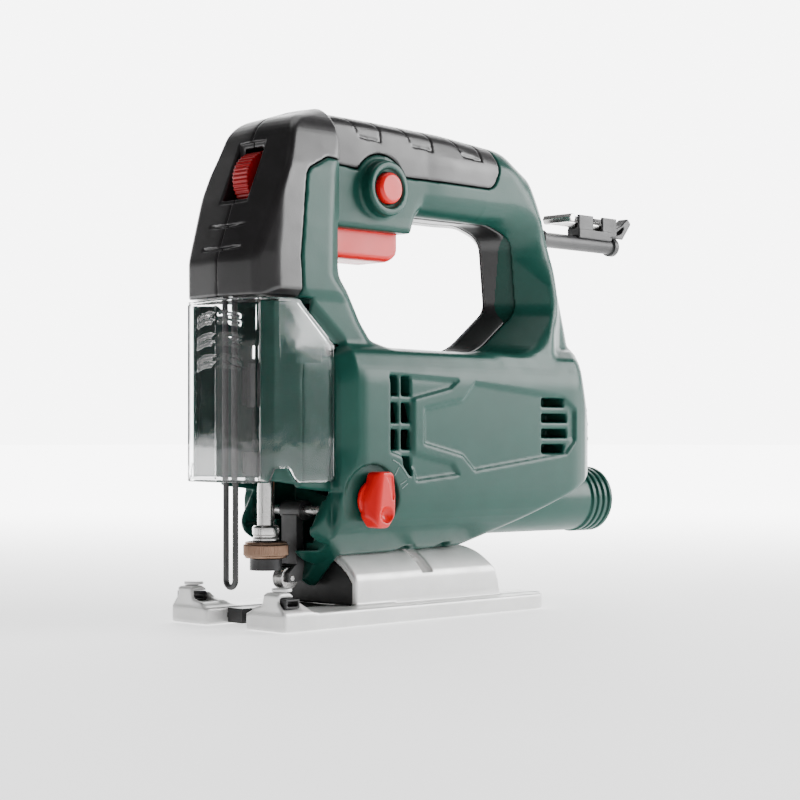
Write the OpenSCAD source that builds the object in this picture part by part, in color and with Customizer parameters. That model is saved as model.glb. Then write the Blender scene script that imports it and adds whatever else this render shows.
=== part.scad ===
// Corded orbital jigsaw, D-handle type.
// Millimetres. -X is the cutting direction, +Z up, and -Y is the side with the lever.
// The origin lies on the plunger's axis, in the plane of the footplate's sole.

/* [Housing] */
// Half width of the motor body
body_half_w = 33; // [32.5:0.5:34]
// Half width of the plain middle of the handle
handle_half_w = 19.5; // [18.5:0.5:20.5]
// Height of the motor's axis above the sole
motor_z = 80; // [79:0.5:81]
// Inner radius of the motor space
motor_cavity_r = 29; // [28.6:0.2:29.4]
// Angle at which the inner faces of the pillar open outwards
flare_angle = 48; // [46:1:50]

/* [Drive] */
// Stroke of the plunger
stroke = 18; // [14:1:18]
// Gear module
gear_module = 1; // [0.95:0.01:1]
// Teeth on the motor pinion
pinion_teeth = 8; // [8:1:8]
// Teeth on the drive gear
gear_teeth = 44; // [42:1:44]
// Diameter of the plunger rod
rod_d = 7; // [6:0.5:7]
// Radial running clearance of shafts in their bushes
run_gap = 0.05; // [0.02:0.01:0.09]

/* [Foot] */
// Width of the footplate
foot_w = 70; // [68:1:72]
// Thickness of the footplate
foot_t = 7; // [6:0.5:7]
// Front edge of the footplate
foot_front = -21; // [-24:1:-20]
// Rear edge of the footplate
foot_rear = 140; // [136:1:144]
// Radius of the saddle that the housing tilts on
saddle_r = 30.7; // [30.5:0.1:30.8]
// Half width of the gap between the two prongs
prong_gap = 12; // [11.5:0.5:12.5]

/* [Controls] */
// Diameter of the lock button
button_d = 13; // [10:0.5:13]
// Travel of the trigger
trigger_travel = 6; // [4:0.5:6]
// Radius of the speed wheel
wheel_r = 12; // [11:0.5:12]

/* [Dust extraction] */
// Outside diameter of the dust port
port_d = 30.8; // [30:0.2:32]
// Bore of the dust port
port_bore = 25; // [23:0.5:26]

/* [Hidden] */

$fn = 64;
eps = 0.01;
gap = 0.3;

// Colours
c_green = [0.22, 0.36, 0.31];
c_black = [0.13, 0.13, 0.14];
c_red = [0.82, 0.13, 0.12];
c_cast = [0.82, 0.82, 0.81];
c_steel = [0.62, 0.62, 0.64];
c_bronze = [0.45, 0.33, 0.25];
c_copper = [0.72, 0.42, 0.22];
c_clear = [0.85, 0.92, 0.92, 0.5];
c_iron = [0.35, 0.35, 0.37];

// Drive train
centre_dist = gear_module * (pinion_teeth + gear_teeth) / 2 + 0.15;
gear_z = motor_z + centre_dist;
crank_r = stroke / 2;
slot_z = gear_z - crank_r;
gear_x0 = 16;
gear_x1 = 24;
pin_d = 7;
yoke_x1 = 10;
pivot_gap = 0.4;
rod_bottom = 24;
rod_top = 147;

// Plunger guides
guide_z = [60, 134];
guide_h = 10;
plate_x0 = 27;
plate_x1 = 35.4;
plate_top = 115;
plate_screws = [[-18, 90], [18, 90], [-17, 65], [17, 65]];
bush_od = 11;

// Motor
shaft_d = 8;
bearing_od = 22;
bearing_w = 7;
front_bearing_x = 28;
rear_bearing_x = 134;
stator_x0 = 55;
stator_x1 = 105;
stator_r = 28;
armature_r = 15.5;
air_gap = 0.7;

// Nose, seen from the side: it stands nearly upright, then leans back
nose_bottom = 131.5;
nose_bend = [-25, 149];
nose_lean = 20;
corner_lean = 9;

// Where the clear shield sits
shield_bottom = 58;
shield_back = 13;
shield_t = 2;
shield_half_w = 27.4;

// Guard wire in front of the blade
wire_r = 1.2;
wire_half_gap = 2.9;
wire_x = -18.6;
wire_bottom = 14.8;
wire_top = nose_bottom + 6;

// Speed wheel axis
wheel_c = [-2.4, 180];
wheel_w = 9;

// Lock button and trigger
button_c = [48.9, 180];
button_face_y = 22;
trigger_x = [22, 65];
trigger_bottom = 150.5;
trigger_top = 162;
trigger_half_w = 11;

// Orbital lever and the swinging roller behind the plunger
dial_c = [30, 50.5];
dial_r = 14.6;
lever_face = -body_half_w - 5.4;
fork_c = [16.5, 46];
roller_c = [10.5, 18.2];
roller_r = 4.5;
roller_half_w = 2.8;
keel_rise = 11.3;

// Cable sleeve, and the hex key clipped above it
sleeve_z = 169.6;
sleeve_r = 3.6;
sleeve_bore_r = 2.4;
sleeve_x1 = 226;
key_z = 179;
key_r = 2.2;

// Dust port axis
port_z = 46.6;
port_x0 = 112;
port_x1 = 207;

// Screws that hold a fence rod in the prongs
fence_screw_x = foot_front + 5.5;
fence_screw_y = 27.2;

// Bevel clamp
bevel_x = 70;
bevel_screw_d = 5;

// Assembly screws of the housing, as [x, z]
screw_places = [[14, 150], [50, 46.6], [75, 46.6], [100, 178], [147, 186], [162, 128], [176, 80]];
screw_d = 3.6;

// Outline of the whole body from the side, as [x, z]
silhouette = [[-25.9, nose_bottom], nose_bend, [-20.4, 163.4], [-8.3, 195.9], [-6.2, 202.6],
    [-2.4, 206.1], [5.5, 208.9], [14, 211.2], [22, 212.8], [48, 211.9], [75, 211.1],
    [103, 209.6], [128, 207.9], [137, 205.6], [146, 198.5], [157, 188], [162, 180], [167, 161],
    [172, 145], [176, 133], [180, 121], [183, 110], [185.5, 98], [186, 80], [185.5, 70],
    [180, 60], [98, 28.6], [26.6, 26.3], [26.6, 13.2], [19.5, 17.2], [11, 26], [3.5, 35.5],
    [7.5, 43.5], [13.6, 54], [-4, shield_bottom - 2], [-4, nose_bottom - 1],
    [-21, nose_bottom - eps]];

// Finger opening of the handle
opening = [[20.5, 162.6], [20.5, 146], [23, 137.5], [35.4, 121], [43, 115], [60, 113.4],
    [98, 113], [112, 117], [121.5, 125], [128, 134], [130.5, 144], [129.6, 153.5], [126.4, 162],
    [119.5, 168.2], [110, 170.5], [72, 170.5], [66.8, 162.6]];

// Rear part of the opening, whose faces run outwards and back from the middle
flare_line = [[74, 113.8], [98, 112.6], [112.3, 116.6], [121.9, 124.8], [128.5, 133.8], [131, 144],
    [130, 153.7], [126.7, 162.4], [119.7, 168.7], [110, 171], [78, 169.6]];

// The wide front column ends at this crease, seen from the side
column_line = [[-170, 90], [-170, 220], [13.4, 220], [13.4, 141], [18.5, 135.6], [25, 123.8],
    [31, 115.8], [40, 108], [40, 90]];

// How far the chamfer behind that crease runs back and in, and its angle
column_chamfer = [7.4, 3.5];
column_half_w = 25.5;
chamfer_angle = atan(column_chamfer[0] / column_chamfer[1]);

// The rear corners are cut along a slanting plane: its distance from the origin at the sole,
// measured across the corner, and how much nearer it comes for each millimetre of height
corner_cut = 166;
corner_slope = 0.259;
top_z = 230;

// Everything above and in front of this line is soft grip
grip_line = [[-40, 120], [-40, 230], [116.5, 230], [118.4, 201], [119.2, 196], [116.6, 188],
    [112, 185.8], [63, 186.4], [35, 187.4], [13, 189.2], [2.2, 183.8], [0.3, 181], [-2, 162],
    [-3.5, 148], [-2.8, 134], [-3.2, 120]];

// Half of the body's cross-section low down and high up, as [y, z]
low_section = [[0, keel_rise], [body_half_w - 0.9, body_half_w + keel_rise - 0.9],
    [body_half_w, 46], [body_half_w, 98], [29.4, 109.6], [22, 115.6], [16, 117]];
front_section = [[24.6, 100], [24.9, 131.2], [25.8, 134], [25.6, 160], [24.4, 190], [20.5, 204], [11, 214]];
rear_section = [[30, 105], [28, 116], [25.5, 128], [23, 142], [20.5, 156], [handle_half_w, 166],
    [handle_half_w, 192], [16, 204], [9, 214]];

// Half of the body's plan low down and high up, as [x, y]
low_plan = [[-4, 25], [shield_back + 0.6, 25], [shield_back + 0.6, 27.6], [21.5, 32.2],
    [38, body_half_w], [158, body_half_w], [168, 30.3], [175, 26], [181, 19.5], [187, 10]];
rear_plan = [[5, 17.4], [48, 17.4], [76, handle_half_w], [100, 24], [112, 31], [146, 31], [154, 24],
    [163, 19], [176, 17.5], [184, 12]];
nose_front = [[-25.9, 0], [-24.7, 11], [-23.3, 21.3], [-22.2, 27], [20, 27]];
nose_corner = [[-40, 0], [-40, 11], [-23.2, 21.3], [-16.6, 25.4], [-4, 26.2], [20, 26.2]];

// ---- helpers ----

// Closed outline from its half, mirrored in the first or in the second coordinate
function mirror_first(p) = concat(p, [for (i = [len(p) - 1 : -1 : 0]) [-p[i][0], p[i][1]]]);
function mirror_second(p) = concat(p, [for (i = [len(p) - 1 : -1 : 0]) [p[i][0], -p[i][1]]]);

// Extrudes an outline drawn in X and Z from y0 to y1
module side(y0, y1) {
    translate([0, y1, 0])
        rotate([90, 0, 0])
            linear_extrude(y1 - y0)
                children();
}

// Extrudes an outline drawn in Y and Z from x0 to x1
module across(x0, x1) {
    translate([x0, 0, 0])
        rotate([90, 0, 90])
            linear_extrude(x1 - x0)
                children();
}

// Extrudes an outline drawn in X and Y from z0 to z1
module upright(z0, z1) {
    translate([0, 0, z0])
        linear_extrude(z1 - z0)
            children();
}

// Cylinders along X, Y and Z between two places
module rod_x(r, x0, x1, y = 0, z = 0) {
    translate([x0, y, z])
        rotate([0, 90, 0])
            cylinder(r = r, h = x1 - x0);
}

module rod_y(r, y0, y1, x = 0, z = 0) {
    translate([x, y1, z])
        rotate([90, 0, 0])
            cylinder(r = r, h = y1 - y0);
}

module rod_z(r, z0, z1, x = 0, y = 0) {
    translate([x, y, z0])
        cylinder(r = r, h = z1 - z0);
}

module box(lo, hi) {
    translate(lo)
        cube(hi - lo);
}

module both_sides() {
    children();
    mirror([0, 1, 0])
        children();
}

// Ring along X
module ring_x(r_out, r_in, x0, x1, z) {
    difference() {
        rod_x(r_out, x0, x1, 0, z);
        rod_x(r_in, x0 - 1, x1 + 1, 0, z);
    }
}

// Machine screw along Y with its head towards +Y
module screw_y(d, head_d, y0, y1, x, z) {
    difference() {
        union() {
            rod_y(d / 2, y0, y1, x, z);
            rod_y(head_d / 2, y1, y1 + 2.4, x, z);
        }
        rod_y(d * 0.32, y1 + 1, y1 + 3, x, z);
    }
}

// Straight-sided teeth around a disc, as one outline
module gear_outline(teeth, m, tip_w, root_w) {
    pitch_r = m * teeth / 2;
    tip_r = pitch_r + 0.85 * m;
    root_r = pitch_r - 1.15 * m;
    points = [for (i = [0 : teeth - 1]) each [for (k = [[root_r, -root_w], [tip_r, -tip_w],
        [tip_r, tip_w], [root_r, root_w]])
        [k[0] * cos(360 * i / teeth) - k[1] / 2 * sin(360 * i / teeth),
         k[0] * sin(360 * i / teeth) + k[1] / 2 * cos(360 * i / teeth)]]];
    polygon(points);
}

// ---- outer form of the housing and its grip ----

module low_body() {
    intersection() {
        side(-40, 40)
            polygon(silhouette);
        across(-30, 190)
            polygon(mirror_first(low_section));
        upright(0, 125)
            polygon(mirror_second(low_plan));
        rear_corner(-1);
        rear_corner(1);
    }
}

module front_column() {
    intersection() {
        side(-40, 40)
            polygon(silhouette);
        across(-4, 45)
            polygon(mirror_first(front_section));
        translate([column_chamfer[0], 0, 0])
            side(-40, 40)
                polygon(column_line);
        column_flank(-1);
        column_flank(1);
    }
}

// Space in front of the chamfer on one side of the column
module column_flank(s) {
    translate([0, s * column_half_w, 0])
        rotate([0, 0, s * chamfer_angle])
            side(-70, 70)
                scale([cos(chamfer_angle), 1])
                    polygon(column_line);
}

// Space in front of the slanting cut on one rear corner
module rear_corner(s) {
    rotate([0, 0, s * 45])
        side(-250, 250)
            polygon([[-100, 0], [corner_cut, 0], [corner_cut - corner_slope * top_z, top_z],
                [-100, top_z]]);
}

module handle_and_pillar() {
    intersection() {
        side(-40, 40)
            polygon(silhouette);
        across(5, 190)
            polygon(mirror_first(rear_section));
        upright(100, 220)
            polygon(mirror_second(rear_plan));
        rear_corner(-1);
        rear_corner(1);
    }
}

// A plan that stands upright up to the nose's bend and leans back above it
module leaning(angle, plan) {
    union() {
        upright(nose_bottom - 2 * eps, nose_bend[1])
            polygon(mirror_second(plan));
        translate([nose_bend[0], 0, nose_bend[1] - 0.4])
            rotate([0, angle, 0])
                translate([-nose_bend[0], 0, 0])
                    upright(0, 80)
                        polygon(mirror_second(plan));
    }
}

// The nose has a slightly curved front, which leans back more than its corners
module nose_body() {
    intersection() {
        side(-40, 40)
            polygon(silhouette);
        across(-30, 12)
            polygon(mirror_first(front_section));
        leaning(nose_lean, nose_front);
        leaning(corner_lean, nose_corner);
        box([-40, -40, nose_bottom - eps], [20, 40, 220]);
    }
}

module lock_boss() {
    rod_y(11.5, -button_face_y - 0.6, -12, button_c[0], button_c[1]);
}

// Rear part of the opening, carried outwards and back at an angle
module flare() {
    intersection() {
        rotate([0, 0, -flare_angle])
            side(50, 150)
                scale([cos(flare_angle), 1])
                    polygon(flare_line);
        box([60, 0, 100], [190, 40, 180]);
    }
}

module outer_form() {
    difference() {
        union() {
            low_body();
            front_column();
            handle_and_pillar();
            nose_body();
            lock_boss();
        }
        side(-40, 40)
            polygon(opening);
        both_sides()
            flare();
        // concave seat of the tilting saddle
        rod_x(saddle_r + gap, 26.6, 118, 0, 0);
    }
}

module grip_zone() {
    difference() {
        side(-40, 40)
            polygon(grip_line);
        rod_y(14.6, -40, -12, button_c[0], button_c[1]);
    }
}

// ---- space inside the housing ----

module inside() {
    // motor, and the fan chamber in front of it
    rod_x(motor_cavity_r, 36, 150, 0, motor_z);
    // gear and yoke
    box([-30, -22.4, 40], [16, 22.4, nose_bottom - 1.4]);
    side(-23.6, 23.6)
        polygon([[12, 78], [36.1, 78], [36.1, 109.5], [29.2, 116], [25.4, 121.6], [23.4, 124],
            [19.5, 129.5], [17, 131.5], [12, 131.5]]);
    side(-15.6, 15.6)
        polygon([[12, 100], [36.1, 100], [36.1, 117.5], [27, 128.4], [24, 131.5], [12, 131.5]]);
    box([12, -22.4, 42], [36.1, 22.4, 80]);
    // roller fork between the two keels
    box([-5, -8, 8], [19, 8, 42]);
    box([-5, -20, 30], [15, 20, 42]);
    // column behind the nose
    box([-14.5, -20, nose_bottom - 3], [10.6, 20, 166]);
    box([-5, -16, 160], [10.8, 16, 194]);
    box([10, -14, nose_bottom - 3], [18.2, 14, 166]);
    // trigger and switch, and the handle behind them
    box([10, -14, 164.6], [65.4, 14, 197]);
    box([65, -14, 174], [119, 14, 197]);
    // rear pillar
    box([118, -13, 174], [147, 13, 190]);
    box([145, -8, 166], [157, 8, 178]);
    upright(104, 168)
        polygon([[143, -3], [152, -10.5], [158.5, -10.5], [161.5, -7.5], [161.5, 7.5],
            [158.5, 10.5], [152, 10.5], [143, 3]]);
    // dust duct
    box([10, -12, 33], [118, 12, 42.4]);
}

module screw_bosses() {
    for (p = screw_places)
        rod_y(4.6, -24, 24, p[0], p[1]);
}

module cutouts() {
    // trigger opening
    box([trigger_x[0] - gap, -trigger_half_w - gap, 150], [trigger_x[1] + gap, trigger_half_w + gap, 166]);
    // lock button
    rod_y(button_d / 2 + 0.2, -40, -10, button_c[0], button_c[1]);
    rod_y(8.2, -40, -button_face_y + 0.6, button_c[0], button_c[1]);
    // lever dial and shaft
    intersection() {
        rod_y(dial_r, -40, -body_half_w + 3.2, dial_c[0], dial_c[1]);
        box([0, -40, dial_c[1] - 13], [60, -20, 80]);
    }
    rod_y(4.05, -40, -10, dial_c[0], dial_c[1]);
    // dust port socket and sleeve hole
    rod_x(port_d / 2, port_x0, port_x1, 0, port_z);
    rod_x(sleeve_r, 155, 190, 0, sleeve_z);
    // bevel screw
    rod_z(bevel_screw_d / 2, 20, 46, bevel_x);
    // fork pin
    rod_y(2, -24, 24, fork_c[0], fork_c[1]);
    // legs of the guard wire
    for (s = [-1, 1])
        rod_z(wire_r, nose_bottom - 2, wire_top, wire_x, s * wire_half_gap);
    side_vents();
    speed_slot();
}

module side_vents() {
    both_sides() {
        // two columns at the front, the rear one a row longer
        for (i = [0 : 2])
            box([39.7, -40, 93.1 - i * 11.1], [44.9, -19, 101.3 - i * 11.1]);
        for (i = [0 : 3])
            box([46.9, -40, 93.1 - i * 11.1], [52.1, -19, 101.3 - i * 11.1]);
        // louvres at the rear
        for (i = [0 : 3])
            box([136, -40, 69.2 + i * 6.9], [153.6, -26, 73 + i * 6.9]);
    }
}

// Window in the front of the nose, and the room that the speed wheel turns in
module speed_slot() {
    clear_r = wheel_r + 0.8;
    box([-30, -8, 171], [-8, 8, 195.5]);
    box([wheel_c[0] - clear_r, -5.6, wheel_c[1] - clear_r],
        [wheel_c[0] + clear_r, 5.6, wheel_c[1] + clear_r]);
}

module housing_shell() {
    difference() {
        intersection() {
            outer_form();
            union() {
                difference() {
                    outer_form();
                    inside();
                }
                screw_bosses();
                // seat of the rear bearing
                rod_x(motor_cavity_r + 1, rear_bearing_x - 2, rear_bearing_x + bearing_w + 2, 0, motor_z);
                // ribs that the stator sits between
                for (x = [stator_x0 + 4, stator_x1 - 8])
                    ring_x(motor_cavity_r + 0.5, stator_r, x, x + 4, motor_z);
                // boss of the bevel screw
                rod_z(6, 29, 42.4, bevel_x);
            }
        }
        grip_zone();
        cutouts();
        rod_x(bearing_od / 2, rear_bearing_x, rear_bearing_x + bearing_w, 0, motor_z);
        rod_x(7, rear_bearing_x - 10, rear_bearing_x + bearing_w + 10, 0, motor_z);
        for (p = screw_places) {
            rod_y(screw_d / 2, -12, 40, p[0], p[1]);
            rod_y(3.6, 12, 40, p[0], p[1]);
        }
    }
}

module half_space(right) {
    if (right)
        box([-60, 0, -10], [260, 60, 240]);
    else
        box([-60, -60, -10], [260, 0, 240]);
}

module housing_left() {
    color(c_green)
        intersection() {
            housing_shell();
            half_space(false);
        }
}

module housing_right() {
    color(c_green)
        intersection() {
            housing_shell();
            half_space(true);
        }
}

module grip_shell() {
    difference() {
        intersection() {
            outer_form();
            grip_zone();
        }
        inside();
        cutouts();
    }
}

module grip_left() {
    color(c_black)
        intersection() {
            grip_shell();
            half_space(false);
        }
}

module grip_right() {
    color(c_black)
        intersection() {
            grip_shell();
            half_space(true);
        }
}

module housing_screws() {
    color(c_steel)
        for (p = screw_places)
            screw_y(screw_d, 7, -11, 12, p[0], p[1]);
}

// ---- gearbox ----

// Casting that holds the front bearing, the gear's axle and the lower plunger guide
module gear_housing() {
    color(c_cast)
        difference() {
            union() {
                box([plate_x0, -21, guide_z[0]], [plate_x1, 21, plate_top - 9]);
                box([plate_x0, -13, guide_z[0]], [plate_x1, 13, plate_top]);
                box([plate_x0, -22.4, guide_z[0]], [plate_x1, 22.4, 77]);
                guide_arm(guide_z[0], plate_x0 + 1, 9);
            }
            rod_x(bearing_od / 2, front_bearing_x, plate_x1 + 1, 0, motor_z);
            rod_x(7, plate_x0 - 1, plate_x1 + 1, 0, motor_z);
            rod_x(4, plate_x0 - 1, plate_x1 + 1, 0, gear_z);
            rod_z(bush_od / 2, guide_z[0] - 1, guide_z[0] + guide_h + 1);
            for (p = plate_screws)
                rod_x(1.7, plate_x0 - 1, plate_x1 + 1, p[0], p[1]);
        }
}

// Arm around the plunger, with a round front end
module guide_arm(z, x1, half_w) {
    box([0, -half_w, z], [x1, half_w, z + guide_h]);
    rod_z(half_w, z, z + guide_h);
}

// Bridge between the housing halves that holds the upper plunger guide
module upper_guide() {
    color(c_cast)
        difference() {
            union() {
                guide_arm(guide_z[1], 10.6, 9);
                box([4, -20, guide_z[1]], [10.6, 20, guide_z[1] + guide_h]);
            }
            rod_z(bush_od / 2, guide_z[1] - 1, guide_z[1] + guide_h + 1);
        }
}

module gear_housing_screws() {
    color(c_steel)
        for (p = plate_screws) {
            rod_x(1.7, plate_x0 - 0.6, plate_x1, p[0], p[1]);
            rod_x(2.9, plate_x0 - 2.6, plate_x0, p[0], p[1]);
        }
}

module bush(z) {
    difference() {
        rod_z(bush_od / 2, z, z + guide_h);
        rod_z(rod_d / 2 + run_gap, z - 1, z + guide_h + 1);
    }
}

module lower_bush() {
    color(c_bronze)
        bush(guide_z[0]);
}

module upper_bush() {
    color(c_bronze)
        bush(guide_z[1]);
}

module gear_axle() {
    color(c_steel)
        rod_x(4, 14.5, 35.4, 0, gear_z);
}

module drive_gear() {
    color(c_steel)
        difference() {
            union() {
                translate([gear_x0, 0, gear_z])
                    rotate([90, 0, 90])
                        linear_extrude(gear_x1 - gear_x0)
                            rotate(90)
                                gear_outline(gear_teeth, gear_module, 0.6, 1.5);
            }
            rod_x(4 + run_gap, gear_x0 - 1, gear_x1 + 1, 0, gear_z);
            rod_x(pin_d / 2, gear_x0 - 1, gear_x1 + 1, 0, slot_z);
            // lightening holes
            for (a = [60, 120, 240, 300])
                rod_x(4, gear_x0 - 1, gear_x1 + 1, 13 * sin(a), gear_z - 13 * cos(a));
        }
}

module crank_pin() {
    color(c_steel)
        rod_x(pin_d / 2, yoke_x1 + pivot_gap, gear_x1, 0, slot_z);
}

// Half-moon plate on the back of the gear, opposite the crank pin
module balance_weight() {
    color(c_iron)
        difference() {
            ring_x(19.5, 7, gear_x1, gear_x1 + 2.4, gear_z);
            box([gear_x1 - 1, -30, gear_z - 30], [gear_x1 + 4, 30, gear_z + 3]);
        }
}

module pinion() {
    color(c_steel)
        difference() {
            translate([gear_x0 - 0.5, 0, motor_z])
                rotate([90, 0, 90])
                    linear_extrude(front_bearing_x - gear_x0)
                        rotate(90 + 180 / pinion_teeth)
                            gear_outline(pinion_teeth, gear_module, 0.5, 1.3);
            rod_x(1.5, gear_x0 - 2, front_bearing_x + 1, 0, motor_z);
        }
}

// ---- plunger ----

module plunger_rod() {
    color(c_steel)
        rod_z(rod_d / 2, rod_bottom, rod_top);
}

module yoke() {
    half_l = crank_r + pin_d / 2 + 1;
    wall = 4;
    half_h = pin_d / 2 + 0.3 + wall;
    color(c_iron)
        difference() {
            union() {
                box([3, -half_l - wall, slot_z - half_h], [yoke_x1, half_l + wall, slot_z + half_h]);
                rod_z(7, slot_z - half_h - 1, slot_z + half_h + 1);
                box([0, -7, slot_z - half_h], [4, 7, slot_z + half_h]);
            }
            rod_z(rod_d / 2, 60, 140);
            box([5, -half_l, slot_z - half_h + wall], [yoke_x1 + 1, half_l, slot_z + half_h - wall]);
        }
}

module chuck_collar() {
    color(c_steel)
        difference() {
            union() {
                rod_z(5.5, 34, 39.6);
                translate([0, 0, 39.6 - eps])
                    cylinder(r1 = 5.5, r2 = 4.8, h = 0.6, $fn = 48);
            }
            rod_z(rod_d / 2, 30, 45);
        }
}

module chuck_sleeve() {
    ribs = 48;
    color(c_bronze)
        difference() {
            union() {
                upright(28, 32.6)
                    polygon([for (i = [0 : 2 * ribs - 1])
                        (i % 2 == 0 ? 9.25 : 8.9) * [cos(180 * i / ribs), sin(180 * i / ribs)]]);
                rod_z(8.6, 26.9, 28.2);
                rod_z(8.6, 32.4, 33.6);
            }
            rod_z(5, 20, 40);
        }
}

module chuck_body() {
    color(c_iron)
        difference() {
            union() {
                rod_z(4.95, 22, 34);
                rod_z(6.6, 22, 26.5);
            }
            rod_z(rod_d / 2, rod_bottom, 40);
            // slot for the shank
            box([-4, -0.9, 20], [4, 0.9, 25]);
        }
}

// ---- orbital action ----

module fork_pin() {
    color(c_steel)
        rod_y(2, -24, 24, fork_c[0], fork_c[1]);
}

module roller_fork() {
    color(c_iron)
        difference() {
            union() {
                rod_y(4, -6, 6, fork_c[0], fork_c[1]);
                side(-4.6, 4.6)
                    polygon([[12.6, 24], [12.6, 44], [16, 44], [17, 24], [15.6, 17], [8.4, 16.6],
                        [8.4, 20.4], [12.6, 24]]);
            }
            rod_y(2 + run_gap, -10, 10, fork_c[0], fork_c[1]);
            rod_y(roller_r + 0.5, -roller_half_w - 0.2, roller_half_w + 0.2, roller_c[0], roller_c[1]);
            box([-2, -roller_half_w - 0.2, 10], [roller_c[0], roller_half_w + 0.2, 24]);
            rod_y(1, -10, 10, roller_c[0], roller_c[1]);
        }
}

module roller_pin() {
    color(c_steel)
        rod_y(1, -4.6, 4.6, roller_c[0], roller_c[1]);
}

module support_roller() {
    color(c_steel)
        translate([roller_c[0], 0, roller_c[1]])
            rotate([90, 0, 0])
                rotate_extrude()
                    polygon([[1 + run_gap, -roller_half_w], [roller_r, -roller_half_w], [roller_r, -1.2],
                        [roller_r - 1, -0.6], [roller_r - 1, 0.6], [roller_r, 1.2],
                        [roller_r, roller_half_w], [1 + run_gap, roller_half_w]]);
}

module orbital_lever() {
    color(c_red)
        difference() {
            union() {
                intersection() {
                    side(-45, -body_half_w + 1)
                        polygon([[27.5, 62], [35, 62], [35.7, 61.2], [36.6, 52], [36.4, 44], [35, 41.2],
                            [32.5, 39.4], [27, 39.4], [24.6, 41.2], [23.3, 44], [23.3, 50]]);
                    // a flat face towards the front, and one that falls away from the ridge
                    translate([25.6, 0, 40])
                        rotate([0, 8.3, 0])
                            upright(-5, 30)
                                polygon([[0, lever_face], [20, lever_face], [20, -20], [-15, -20]]);
                }
                rod_y(11.6, -body_half_w + 0.6, -body_half_w + 2.4, dial_c[0], dial_c[1]);
                rod_y(4, -body_half_w, -20, dial_c[0], dial_c[1]);
            }
            rod_y(3, lever_face - 2, lever_face + 1.6, 31.6, 44.6);
        }
}

// Eccentric on the inner end of the lever's shaft, behind the fork
module orbital_cam() {
    color(c_iron)
        rod_y(4.4, -20, -12, dial_c[0] - 1.6, dial_c[1]);
}

// ---- motor ----

module armature_shaft() {
    color(c_steel)
        union() {
            rod_x(1.5, gear_x0 - 0.5, front_bearing_x, 0, motor_z);
            rod_x(shaft_d / 2, front_bearing_x - 0.5, rear_bearing_x + bearing_w, 0, motor_z);
        }
}

module armature_core() {
    slots = 12;
    color(c_iron)
        difference() {
            rod_x(armature_r, stator_x0 + 1, stator_x1 - 1, 0, motor_z);
            rod_x(shaft_d / 2, stator_x0, stator_x1, 0, motor_z);
            for (i = [0 : slots - 1])
                rod_x(1.6, stator_x0, stator_x1, 12.5 * sin(360 * i / slots),
                    motor_z + 12.5 * cos(360 * i / slots));
        }
}

module armature_windings() {
    color(c_copper) {
        ring_x(13.5, shaft_d / 2, stator_x0 - 6, stator_x0 + 1, motor_z);
        ring_x(13.5, shaft_d / 2, stator_x1 - 1, stator_x1 + 6, motor_z);
    }
}

module commutator() {
    color(c_copper)
        ring_x(10, shaft_d / 2, stator_x1 + 9, stator_x1 + 21, motor_z);
}

module fan() {
    blades = 11;
    color(c_black)
        union() {
            ring_x(8, shaft_d / 2, 38, 47, motor_z);
            ring_x(24, shaft_d / 2, 45, 47, motor_z);
            for (i = [0 : blades - 1])
                translate([38.5, 0, motor_z])
                    rotate([360 * i / blades, 0, 0])
                        box([0, -0.8, 7], [7, 0.8, 23.4]);
        }
}

module stator_core() {
    color(c_iron)
        difference() {
            rod_x(stator_r, stator_x0, stator_x1, 0, motor_z);
            rod_x(armature_r + air_gap, stator_x0 - 1, stator_x1 + 1, 0, motor_z);
            for (s = [-1, 1])
                box([stator_x0 - 1, -9, motor_z + s * 19.5 - 4.5], [stator_x1 + 1, 9, motor_z + s * 19.5 + 4.5]);
        }
}

module stator_windings() {
    color(c_copper)
        for (s = [-1, 1])
            for (x = [stator_x0 - 5, stator_x1])
                intersection() {
                    ring_x(26, 17.5, x, x + 5, motor_z);
                    box([x - 1, -15, motor_z + s * 22 - 10], [x + 6, 15, motor_z + s * 22 + 10]);
                }
}

module bearing(x0) {
    ring_x(bearing_od / 2, shaft_d / 2 + run_gap, x0, x0 + bearing_w, motor_z);
}

module front_bearing() {
    color(c_steel)
        bearing(front_bearing_x);
}

module rear_bearing() {
    color(c_steel)
        bearing(rear_bearing_x);
}

brush_x = stator_x1 + 15;

module brush_holders() {
    color(c_bronze)
        both_sides()
            difference() {
                box([brush_x - 5.5, -28.3, motor_z - 6], [brush_x + 5.5, -12, motor_z + 6]);
                box([brush_x - 3.6, -30, motor_z - 3.1], [brush_x + 3.6, -11, motor_z + 3.1]);
            }
}

module carbon_brushes() {
    color(c_iron)
        both_sides()
            box([brush_x - 3.5, -20, motor_z - 3], [brush_x + 3.5, -10.15, motor_z + 3]);
}

module brush_springs() {
    color(c_steel)
        both_sides()
            difference() {
                rod_y(2.6, -26.6, -20, brush_x, motor_z);
                rod_y(1.8, -30, -19, brush_x, motor_z);
            }
}

// ---- switch, wiring and cable entry ----

module switch_body() {
    color(c_black)
        union() {
            box([30, -9, 171.4], [64, 9, 186]);
            box([31, -14, 174], [37, 14, 183]);
        }
}

module trigger() {
    corner_r = 6;
    color(c_red)
        union() {
            side(-trigger_half_w, trigger_half_w)
                polygon(concat([[trigger_x[0], trigger_top + 1], [trigger_x[0], trigger_bottom + 1],
                    [trigger_x[0] + 1, trigger_bottom]],
                    [for (a = [-90 : 15 : 0])
                        [trigger_x[1] - corner_r + corner_r * cos(a),
                         trigger_bottom + corner_r + corner_r * sin(a)]],
                    [[trigger_x[1], trigger_top + 1]]));
            box([trigger_x[0] + 1, -trigger_half_w + 1, trigger_top],
                [trigger_x[1] - 1, trigger_half_w - 1, trigger_top + 2.6]);
        }
}

module trigger_spring() {
    color(c_steel)
        difference() {
            rod_z(3, trigger_top + 2.6, 171.4, 56);
            rod_z(2.2, trigger_top, 175, 56);
        }
}

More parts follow.
